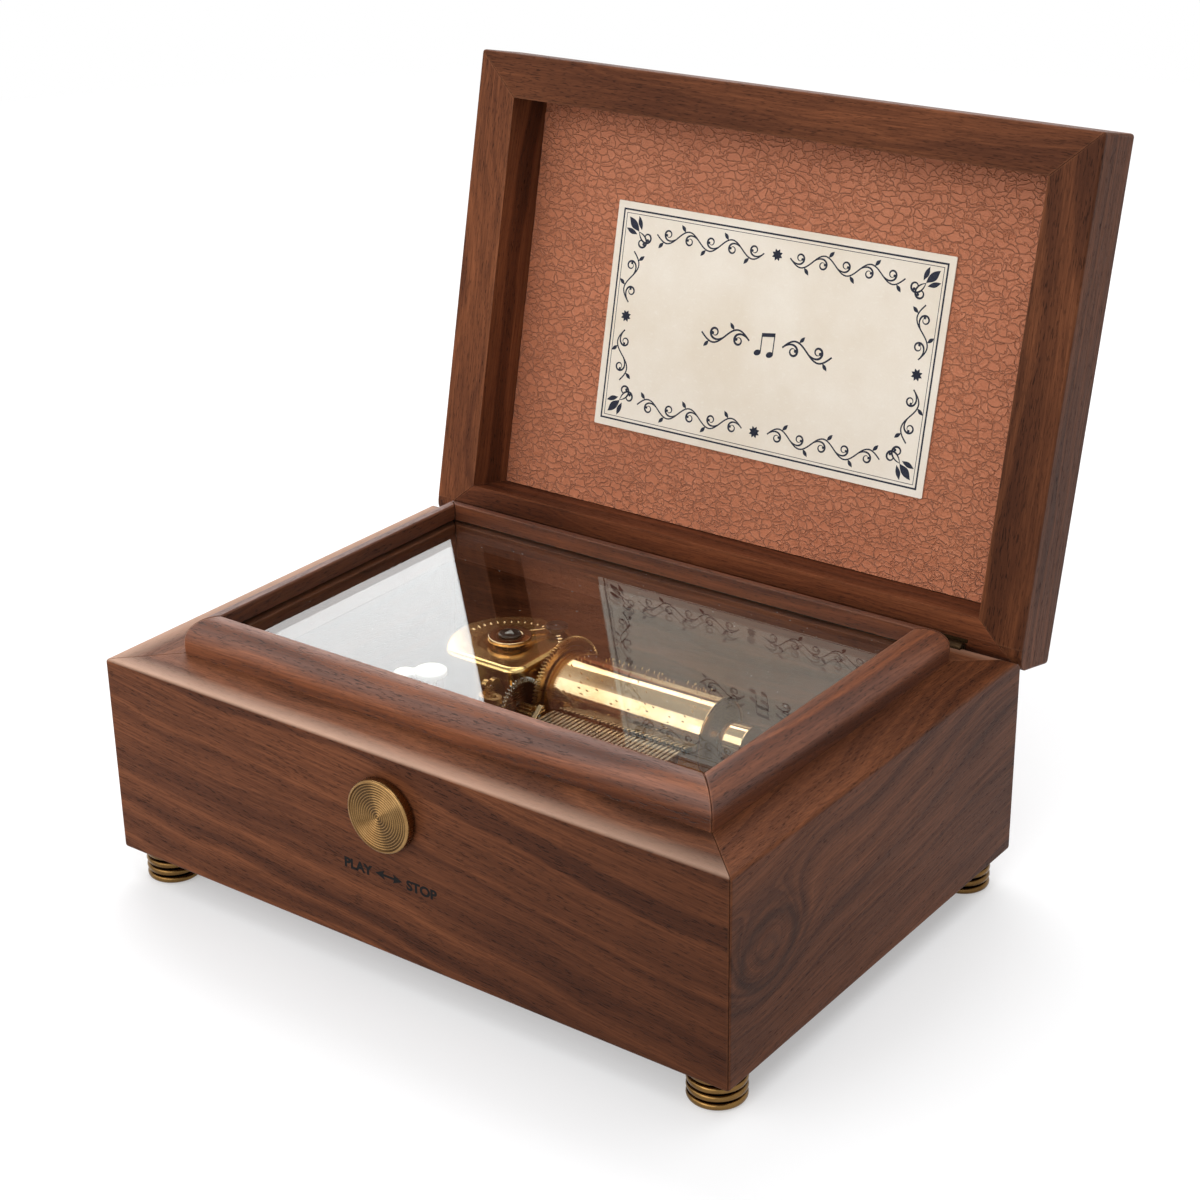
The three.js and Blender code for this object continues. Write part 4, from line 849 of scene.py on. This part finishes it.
def label(print_ink):
    """PLAY, a double arrow and STOP, printed on the front board under the knob."""
    base, height, bolder = 25.35, 2.45, 0.045
    parts = []
    for words, x0, x1 in (("PLAY", -13.9, -6.1), ("STOP", 3.1, 11.25)):
        bm = drawn(adjusted(bpy.data.curves.new("words", "FONT"), body=words, offset=bolder))
        low = [min(v.co[i] for v in bm.verts) for i in (0, 1)]
        high = [max(v.co[i] for v in bm.verts) for i in (0, 1)]
        fit = Matrix.Diagonal(((x1 - x0) / (high[0] - low[0]), height / (high[1] - low[1]), 1, 1))
        bm.transform(to(x0, 0, 0) @ fit @ to(-low[0], -low[1], 0))
        parts.append(thickened(bm, INK_T))
    left, right, middle = -5.35, 1.95, 1.4
    head, wing, stem = 2.5, 1.1, 0.27
    barbs = [(left + head, wing), (left + head - 0.3, stem), (right - head + 0.3, stem), (right - head, wing)]
    arrow = [(left, middle), *((x, middle + h) for x, h in barbs)]
    arrow += [(right, middle), *((x, middle - h) for x, h in barbs[::-1])]
    whole = moved(joined(*parts, prism(arrow, 0.0, INK_T)), to(0, 0, base) @ TO_FRONT)
    make("play_stop_label", whole, print_ink, 60, like="case_front_board", stands=False)


# ---------------- feet and knob
def feet(material):
    """Turned feet: rounded rings with dark grooves between them."""
    radius, height, rings, lip = 6.2, 7.55, 4, 0.2
    bulge, groove, flat = 0.75, 1.2, 0.22
    corner_x, corner_y, depth = 74.8, 7.7, 114.5
    pitch, neck = height / rings, radius - bulge
    profile = [(0.0, 0.0), (neck - lip, 0.0)]
    for i in range(rings):
        for t in shares(8):
            turn = pi * (t - 0.5)
            out = neck + (bulge * cos(turn) ** 0.7 if 0 < t < 1 else 0.0)
            profile.append((out, (i + 0.5) * pitch + 0.5 * (1 - flat) * pitch * sin(turn)))
        if i < rings - 1:
            profile += [(radius - groove, (i + 1 + side * flat) * pitch) for side in (-0.3, 0.3)]
    profile += [(neck - lip, height), (0.0, height)]
    for row, y in (("front", corner_y), ("back", depth - corner_y)):
        for hand, x in (("left", -corner_x), ("right", corner_x)):
            foot = marked(lathe(profile, 96), lambda r, h: (radius - 0.45 - r) / 0.5 if h > 0.1 else 0.0)
            make(f"foot_{row}_{hand}_turned", moved(foot, to(x, y, 0)), material, 40)


def knob(material):
    """The stop knob: a polished rim around a face cut with fine rings."""
    middle_x, middle_z, back, front = -1.6, 41.9, 0.3, 2.7
    radius, lip, rim, depth, rings = 8.2, 0.62, 0.55, 0.26, 13
    groove = ((0.14, 0.8), (0.34, 1.0), (0.54, 0.8), (0.72, 0.1), (0.82, 0.0), (0.92, 0.1))
    profile = [(0.0, back), (radius - 0.25, back), (radius, back + 0.25)]
    for t in shares(6):
        u, v = polar(rim, pi / 2 * t)
        profile.append((radius - rim + u, front - rim + v))
    profile.append((radius - lip, front))
    pitch = (radius - lip) / rings
    for i in range(rings):
        outer = radius - lip - i * pitch
        profile += [(outer - share * pitch, front - depth * drop) for share, drop in groove
                    if outer - share * pitch > 0.05]
    profile.append((0.0, front - depth))
    disc = marked(lathe(profile, 128), lambda r, h: (front - h) / depth if r < radius - lip else 0.0)
    disc.transform(to(middle_x, 0, middle_z) @ TO_FRONT)
    make("stop_knob_turned", disc, material, 50)


# ---------------- movement
BED_TOP = 17.0
CYL_Y, CYL_Z = 72.0, 36.8
CYL_X = (-9.2, 32.5)
CYL_R = 9.5
SPRING = (-26.0, 72.0)
HOUSING_TOP = 44.4
TEETH = 30
COMB_FIRST, COMB_PITCH = -5.5, 1.18
COMB_Z = 36.4
COMB_TIP_Y = 61.75

TOOTH_TIP, TOOTH_ROOT = 0.2, 0.65
TOOTH_SHAPE = ((-0.12, TOOTH_TIP), (0.12, TOOTH_TIP), (0.33, -TOOTH_ROOT), (0.67, -TOOTH_ROOT))
GREAT_TEETH, GREAT_R, GREAT_X = 90, 12.3, (-10.4, -9.3)
GREAT_TURN = -pi / 2 + pi / GREAT_TEETH
CROWN_TEETH, CROWN_WIDE = 117, 1.2
CROWN_R = GREAT_R * CROWN_TEETH / GREAT_TEETH
PINION_TEETH, PINION_DIP = 15, radians(1.5)
PINION_R = GREAT_R * PINION_TEETH / GREAT_TEETH
ARBOR2_Y = CYL_Y - (GREAT_R + PINION_R) * cos(PINION_DIP)
ARBOR2_Z = CYL_Z - (GREAT_R + PINION_R) * sin(PINION_DIP)
WORM_TEETH, WORM_WHEEL_R = 50, 7.8
WORM_STARTS, WORM_R, WORM_HALF = 2, 1.3, 3.0
WORM_LEAD = WORM_STARTS * tau * WORM_WHEEL_R / WORM_TEETH
WORM_X = -12.2
WORM_Y = ARBOR2_Y - WORM_WHEEL_R - WORM_R


def on_spring(bm, turn=0.0):
    return moved(bm, to(*SPRING, 0) @ turned(turn))


def on_x(bm, x=0, y=CYL_Y, z=CYL_Z):
    """The body turned from Z to X, with its axis on the cylinder's or through the point given."""
    return moved(bm, to(x, y, z) @ ALONG_X)


def toothed(teeth, turn=0.0):
    """The angle and the rise over the pitch line at each corner of some teeth, with a tip at the turn."""
    return [(turn + tau * (tooth + share) / teeth, rise)
            for tooth in range(teeth) for share, rise in TOOTH_SHAPE]


def wheel(teeth, pitch_r, turn, width, bore, lean=0.0, dish=None):
    """A toothed wheel around Z, with a tip at the angle called turn and small chamfers on its teeth. A dish
    is (inner radius, outer radius, depth) of the recess turned into both faces."""
    half, chamfer, slope = width / 2, 0.12, 0.3
    inside = [(bore, -half), (bore, half)]
    if dish:
        near, far, depth = dish
        low = [(far, -half), (far - slope, depth - half), (near + slope, depth - half), (near, -half)]
        inside = low + inside + [(r, -h) for r, h in low[::-1]]
    columns = []
    for angle, rise in toothed(teeth, turn):
        r = pitch_r + rise
        edge = [(r - chamfer, half), (r, half - chamfer), (r, chamfer - half), (r - chamfer, -half)]
        columns.append((angle, edge + inside))
    return spun(columns, lean=lean)


def gears(brass, steel, wheel_steel):
    great = wheel(GREAT_TEETH, GREAT_R, GREAT_TURN, GREAT_X[1] - GREAT_X[0], 1.3, dish=(3.6, 10.6, 0.25))
    make("great_wheel_cut", on_x(great, sum(GREAT_X) / 2), brass, 28)
    # A tooth of the pinion falls into a gap of the great wheel.
    toward = pi + PINION_DIP
    phase = ((toward - GREAT_TURN) / (tau / GREAT_TEETH)) % 1
    turn = toward + pi + (phase + 0.5) * tau / PINION_TEETH
    pinion = wheel(PINION_TEETH, PINION_R, turn, 3.3, 0.8)
    make("second_pinion_cut", on_x(pinion, -9.95, ARBOR2_Y, ARBOR2_Z), brass, 28)
    lean = WORM_LEAD / (tau * WORM_R) / WORM_WHEEL_R
    turn = pi + pi / WORM_TEETH  # a gap faces the worm
    disc = wheel(WORM_TEETH, WORM_WHEEL_R, turn, 0.8, 0.8, lean, dish=(2.6, 6.6, 0.18))
    disc = marked(disc, lambda r, h: (6.9 - r) / 0.3)
    make("worm_wheel_cut", on_x(disc, WORM_X, ARBOR2_Y, ARBOR2_Z), wheel_steel, 28)
    crown(brass)
    worm(steel)


def crown(brass):
    """The crown wheel: a ring that slopes up to teeth around its outer edge."""
    pitch_z, bottom, inner = CYL_Z - GREAT_R, BED_TOP + 1, CROWN_R - CROWN_WIDE
    columns = []
    for angle, rise in toothed(CROWN_TEETH):
        high = pitch_z + rise
        columns.append((angle, [(inner, bottom), (CROWN_R, bottom), (CROWN_R, high), (CROWN_R - 0.2, high),
                                (inner, bottom + 0.4)]))
    make("crown_wheel_cut", on_spring(spun(columns)), brass, 28)


def worm(steel):
    """A worm of two starts on a polished shaft, whose thread keeps the lead of the steel wheel."""
    root, crest, shaft = WORM_R - 0.45, WORM_R + 0.25, 0.6
    columns = []
    for a in angles(28):
        column = []
        for t in shares(72):
            z = WORM_HALF * (2 * t - 1)
            phase = ((a - pi / 2 - tau * z / WORM_LEAD) / (tau / WORM_STARTS) + 0.5) % 1
            rise = min(1.0, max(0.0, (0.36 - abs(phase - 0.5)) / 0.23))
            fade = min(1.0, (WORM_HALF - abs(z)) / 0.5)
            column.append((root + (crest - root) * rise * fade, z))
        low, high = ([(0.0, z), (root - 0.15, z)] for z in (-WORM_HALF, WORM_HALF))
        columns.append((a, low + column + high[::-1]))
    spindle = [(0.0, 19.0), (shaft, 19.0), (shaft, 43.0), (0.25, 43.4), (0.0, 43.4)]
    spindle = lathe(soften(spindle, 0.12), 24)
    whole = joined(moved(spun(columns), to(0, 0, ARBOR2_Z)), spindle)
    make("worm_shaft_cut", moved(whole, to(WORM_X, WORM_Y, 0)), steel, 50)


def cylinder(gold, brass):
    """The pinned cylinder: a polished tube with rounded ends, and the pins of a made up tune."""
    wall, left, right = 0.8, *CYL_X
    ends = [(CYL_R - wall, left), (CYL_R, left), (CYL_R, right), (CYL_R - wall, right)]
    tube = on_x(lathe(soften(ends, 0.18, 3, True), 160))
    make("cylinder_tube_turned", tube, gold, 50)
    rng = random.Random(30)
    beats, pins = 48, []
    for tooth in range(TEETH):
        for beat in rng.sample(range(beats), rng.randint(5, 9)):
            angle = tau * (beat + 0.25 * sin(tooth)) / beats
            peg = lathe([(0.0, -0.15), (0.15, -0.15), (0.14, 0.4), (0.07, 0.44), (0.0, 0.44)], 8)
            stand = turned(angle, "X") @ to(COMB_FIRST + tooth * COMB_PITCH, 0, CYL_R)
            pins.append(moved(peg, to(0, CYL_Y, CYL_Z) @ stand))
    make("cylinder_pins", joined(*pins), brass, 50, like="cylinder_tube", stands=False)
    for hand, x in (("left", left + 0.6), ("right", right - 1.8)):
        dished = [(1.3, x), (3.4, x), (3.4, x + 0.35), (7.2, x + 0.35), (7.2, x), (8.6, x), (8.6, x + 1.2),
                  (1.3, x + 1.2)]
        make(f"cylinder_cap_{hand}_turned", on_x(lathe(soften(dished, 0.12, 2, True), 96)), brass, 35)
    refined("cylinder_arbor", brass, 0.15)


def screws(radius, height, spots, z, twist):
    """Slotted cheese heads with their seats at z, each turned by its own X times the twist."""
    heads = []
    for x, y in spots:
        head = lathe(soften(stepped(-0.2, (radius, height)), 0.22), 40)
        slot = 0.28 * radius / 1.6
        groove = block((-radius - 1, radius + 1), (-slot, slot), (0.45 * height, height + 1))
        heads.append(moved(carved(head, groove), to(x, y, z) @ turned(twist * x)))
    return joined(*heads)


def comb_tooth(x, root):
    """A tooth around x: a thick root, a hollow under the blade, and a fine bevelled tip. Its sections are
    (Y, half width, underside, top)."""
    start, tip = 47.4, COMB_TIP_Y
    sections = ((start, 0.40, 0.0, 1.05), (root, 0.39, 0.0, 0.82), (root + 3.0, 0.37, 0.22, 0.72),
                (tip - 2.4, 0.33, 0.22, 0.68), (tip - 0.4, 0.29, 0.12, 0.64), (tip, 0.24, 0.28, 0.5))
    loops = []
    for y, half, low, high in sections:
        flank, ridge = high - 0.06, half - 0.07
        outline = ((-half, low), (half, low), (half, flank), (ridge, high), (-ridge, high), (-half, flank))
        loops.append([(x + u, y, COMB_Z + w) for u, w in outline])
    return lofted(loops)


def comb(steel, dark, brass):
    """Tapered teeth, whose free length grows to one side, with lead weights under them, on a thick body."""
    left, right = COMB_FIRST - 3, COMB_FIRST + (TEETH - 1) * COMB_PITCH + 3
    front, back, thick, screw_y, screw_in = 43.7, 47.8, 2.0, 45.9, 5.5
    bass_root, root_fan, lead_from = 51.4, 3.0, 9
    teeth, leads = [], []
    for tooth in range(TEETH):
        x, share = COMB_FIRST + tooth * COMB_PITCH, tooth / TEETH
        teeth.append(comb_tooth(x, bass_root - root_fan * share))
        if tooth >= lead_from:
            near = COMB_TIP_Y - 1.2
            leads.append(block((x - 0.3, x + 0.3), (near - 1.5 - 2.6 * share, near),
                               (COMB_Z - 0.3 - 1.5 * share, COMB_Z + 0.25)))
    body = block((left, right), (front, back), (COMB_Z, COMB_Z + thick))
    spots = [(x, screw_y) for x in (left + screw_in, (left + right) / 2, right - screw_in)]
    heads = screws(1.9, 1.1, spots, COMB_Z + thick, 0.7)
    make("comb_teeth", joined(*teeth), steel, 20)
    make("comb_body", body, steel, edges=0.3, stands=False)
    make("comb_leads", joined(*leads), dark, edges=0.1, stands=False)
    make("comb_screws", heads, dark, 35, stands=False)
    refined("comb_base", brass, 0.2)


def cover_radius(angle, inset):
    """Distance from the winding arbor to the outline of the spring cover."""
    c, s = cos(angle), sin(angle)
    radius, front, right, corner = 15.6 - inset, 12.1 - inset, 11.4 - inset, 4.6 - inset
    reach = radius
    if s < 0 and c > -0.35:
        reach = min(reach, front / -s)
    if c > 0:
        reach = min(reach, right / c)
    u, v = right - corner, corner - front
    along = u * c + v * s
    gap = along**2 - (u * u + v * v - corner**2)
    if gap > 0 and c > 0 and s < 0:
        arc = along + sqrt(gap)
        if arc * c > u and arc * s < v:
            reach = min(reach, arc)
    # Towards the left the flat front runs into the round with a soft bend.
    if s < 0 and c < 0:
        flat, power = front / -s, 26
        reach = (radius**-power + flat**-power) ** (-1 / power)
    return reach


def spring_cover(gold, brass, cover):
    """The polished cover: a drawn cup with a soft shoulder, standing in a wider round skirt."""
    wall, edge, low, hole, bend, top = 0.9, 1.5, 26.2, 2.5, 0.8, HOUSING_TOP
    columns = []
    for a in angles(240):
        column = [(cover_radius(a, 0.0), low)]
        for t in shares(8):
            u, v = polar(edge, pi / 2 * t)
            column.append((cover_radius(a, edge - u), top - edge + v))
        shoulder, inner = cover_radius(a, edge), cover_radius(a, wall)
        column += [(shoulder + (hole + 0.3 - shoulder) * t, top) for t in (0.04, 0.5, 1.0)]
        column += [(hole, top - 0.2), (hole, top - wall), (inner - bend, top - wall),
                   (inner, top - wall - bend), (inner, low)]
        columns.append((a, column))
    pivot = on_x(lathe(stepped(-4.0, (1.35, 4.0)), 24), SPRING[0] + 11.4)
    make("spring_cover_cup", carved(on_spring(spun(columns)), pivot), cover, 35)
    radius, top, bottom, hole = 18.2, 27.0, BED_TOP + 0.1, 15.2
    profile = soften([(radius - wall, bottom), (radius, bottom), (radius, top), (hole, top),
                      (hole, top - wall), (radius - wall, top - wall)], 0.5, closed=True)
    start = acos(9.7 / radius)
    turns = [start + 2 * (pi - start) * t for t in shares(96)]
    skirt = spun([(angle, profile) for angle in turns], around=False)
    make("spring_cover_skirt", on_spring(skirt), gold, 35, stands=False)
    # A plain beaded border, pressed into the top.
    beads, first, between = [], 28, 8.2
    for i in range(19):
        bead = lathe([(0.0, -0.1), (0.42, -0.1), (0.38, 0.09), (0.22, 0.17), (0.0, 0.2)], 14)
        bead = moved(bead, to(11.6, 0, HOUSING_TOP) @ Matrix.Diagonal((1.7, 0.8, 1, 1)))
        beads.append(on_spring(bead, radians(first + between * i)))
    make("spring_cover_beads", joined(*beads), gold, 60, stands=False)
    refined("spring_barrel", brass, 0.1)


def winding(gold, dark, steel, pale):
    """Ratchet collar, clutch spring and its post, on top of the spring cover."""
    low, neck, top = HOUSING_TOP + 0.2, HOUSING_TOP + 0.95, HOUSING_TOP + 1.9
    collar = soften([(2.1, low), (3.2, low), (3.2, neck), (5.1, neck), (5.1, top), (3.0, top),
                     (2.9, top - 0.12), (2.1, top - 0.12)], 0.22, 4, closed=True)
    make("winding_collar_turned", on_spring(lathe(collar, 96)), gold, 40)
    seat, rim, crest = top + 0.1, top + 0.35, top + 0.5
    cap = soften([(0.0, seat), (2.65, seat), (2.65, rim), (2.3, crest), (0.0, crest)], 0.12)
    make("arbor_cap_turned", on_spring(lathe(cap)), dark, 40)
    # A pale triangle on the cap is a painted highlight, standing where the cap shows a reflection.
    arrow = soften([(-1.15, -0.75), (1.15, -0.75), (0.0, 1.25)], 0.25, closed=True)
    painted_glint = on_spring(prism(arrow, top + 0.45, top + 0.72), 0.5)
    make("arbor_mark", painted_glint, pale, edges=0.08, like="arbor_cap", stands=False)
    refined("winding_arbor", steel, 0.1)
    foot = HOUSING_TOP + 0.1
    head = soften(stepped(foot, (1.8, foot + 1), (2.55, foot + 1.7)), 0.16)
    slot = moved(block((-4, 4), (-0.32, 0.32), (foot + 1.3, foot + 3)), turned(0.4))
    across, back = 5.4, 10.7
    post = moved(carved(lathe(head), slot), to(SPRING[0] + across, SPRING[1] + back, 0))
    make("spring_post_turned", post, dark, 40)
    clutch_spring(gold, atan2(back, across), hypot(across, back) - 2.1)


def clutch_spring(gold, away, reach):
    """Round wire wrapped twice around the collar's neck, with both tails out at the post."""
    wire, fork = 0.12, 0.14
    neck, z0 = 3.2 + wire + 0.3, HOUSING_TOP + wire + 0.14
    touch = acos(neck / reach)
    wound = 2 * tau - 2 * touch
    rise = (2 * wire + 0.04) * wound / tau
    coil = [(neck, away - touch - wound * t, z0 + rise * t) for t in shares(90)]
    line = [(reach, away - fork, z0), *coil, (reach, away + fork, z0 + rise)]
    curve = bpy.data.curves.new("clutch_spring_wire", "CURVE")
    adjusted(curve, dimensions="3D", bevel_depth=wire * MM, bevel_resolution=4, use_fill_caps=True)
    spline = curve.splines.new("POLY")
    spline.points.add(len(line) - 1)
    for point, (r, a, z) in zip(spline.points, line):
        u, v = polar(r, a)
        point.co = (*at(SPRING[0] + u, SPRING[1] + v, z), 1)
    placed("clutch_spring_wire", drawn(curve), gold, 50)


def regulator(white):
    """The white cap with two lobes, with rounded rims and a dimple in each lobe."""
    x, y, top = -32.3, 50.9, 44.0
    parts = []
    for u, v, radius, rise, dimple in ((0, 0, 3.8, 0.0, 0.12), (-4.6, -3.6, 2.4, -0.2, 0.12),
                                       (-2.6, -2.0, 2.0, -0.25, 0.0)):
        high = top + rise
        profile = soften([(0.0, top - 1.2), (radius, top - 1.2), (radius, high), (0.55 * radius, high),
                          (0.3 * radius, high - dimple), (0.0, high - dimple)], 0.35, 4)
        parts.append(moved(lathe(profile), to(x + u, y + v, 0)))
    parts.append(moved(lathe(stepped(BED_TOP + 0.1, (1.1, top - 0.6)), 32), to(x, y, 0)))
    make("regulator_cap_moulded", joined(*parts), white, 40)


def right_bearing(gold):
    """The bearing at the cylinder's right end: a turned bush on a bracket that stands on the bedplate."""
    bore, bush_r, foot = 1.4, 4.8, BED_TOP + 0.1 - CYL_Z
    bush = lathe(soften(stepped(34.4, (bush_r, 40.4)), 0.4, 4))
    bracket = prism([(-6.0, foot), (6.0, foot), (3.6, 0.0), (-3.6, 0.0)], 36.0, 38.2)
    halves = [carved(body, lathe(stepped(30.0, (bore, 45.0)), 32)) for body in (bush, bracket)]
    make("right_bearing_turned", on_x(joined(*halves)), gold, 40)


def plates(brass, gold, steel, dark, alloy, aged):
    refined("bedplate", brass, 0.25)
    right_bearing(gold)
    refined("arbor_cock", gold, 0.12)
    refined("governor_plate", brass, 0.12, 35)
    refined("second_arbor", steel, 0.1)
    refined("fly", alloy, 0.04)
    refined("stop_knob_shaft", steel, 0.15)
    refined("stop_finger", steel, 0.12)
    refined("mainspring", dark, 0.03)
    refined("winding_key", brass, 0.25, 35, 3)
    for hand in ("left", "right"):
        for part in ("case_leaf", "lid_leaf", "pin"):
            refined(f"hinge_{hand}_{part}", aged, 0.06)
    corners = [(-42, 45), (-42, 88.5), (37, 45), (37, 88.5)]
    make("bedplate_screws", screws(2.4, 1.3, corners, BED_TOP, 0.3), steel, 35, like="comb", stands=False)


def base_screws(brass):
    """Four countersunk screws under the base board."""
    made = []
    for x, y in ((-62, 20), (62, 20), (-62, 96), (62, 96)):
        head = lathe(soften([(0.0, 0.0), (2.6, 0.0), (2.6, 0.35), (0.0, 0.55)], 0.2, 2), 40)
        slot = block((-4, 4), (-0.35, 0.35), (0.2, 2))
        made.append(moved(carved(head, slot), to(x, y, 9.6) @ turned(pi, "X")))
    make("base_board_screws", joined(*made), brass, 35, like="bedplate", stands=False)


# ---------------- the whole
def build():
    lengthwise, rings = (0.5, 3.5, 3.5), (0.4, 0.4, 4.0)
    brass = metal("satin_brass", (186, 148, 94), (154, 114, 66), 0.28, lengthwise)
    knob_brass = metal("turned_brass", (158, 124, 80), (128, 96, 58), 0.24, rings, spots=0.2, dark_grooves=True)
    foot_brass = metal("foot_brass", (132, 101, 58), (100, 74, 42), 0.22, rings, spots=0.3, dark_grooves=True)
    aged = metal("aged_brass", (84, 64, 42), (58, 43, 30), 0.4, 2.0, spots=0.3)
    gold = metal("polished_brass", (237, 205, 163), (222, 182, 130), 0.08, (0.35, 2.0, 2.0), 0.12, 0.002)
    cover = metal("cover_brass", (234, 196, 132), (214, 172, 108), 0.17, 1.2, 0.12, 0.003)
    steel = metal("ground_steel", (186, 180, 168), (150, 143, 132), 0.26, (3.2, 0.4, 3.2))
    wheel_steel = metal("wheel_steel", (204, 198, 184), (160, 152, 140), 0.22, (3.2, 0.4, 3.2), dark_grooves=True)
    dark = metal("dark_steel", (74, 68, 62), (50, 45, 42), 0.32, 2.2)
    alloy = metal("fly_alloy", (205, 205, 200), (178, 178, 174), 0.38, (2.0, 2.0, 0.4))
    wooden_parts()
    dress("glass_pane", pane_glass())
    lid_leather(leather())
    card(paper(), ink("card_ink", (42, 45, 58), 0.35))
    label(ink("label_ink", (12, 10, 10), 0.12))
    feet(foot_brass)
    knob(knob_brass)
    gears(brass, steel, wheel_steel)
    cylinder(gold, brass)
    comb(steel, dark, brass)
    spring_cover(gold, brass, cover)
    winding(gold, dark, steel, alloy)
    regulator(white_plastic())
    plates(brass, gold, steel, dark, alloy, aged)
    base_screws(brass)


add_camera()
build()
add_lamps()
set_world()
add_floor()
bpy.context.scene.view_settings.view_transform = "Standard"
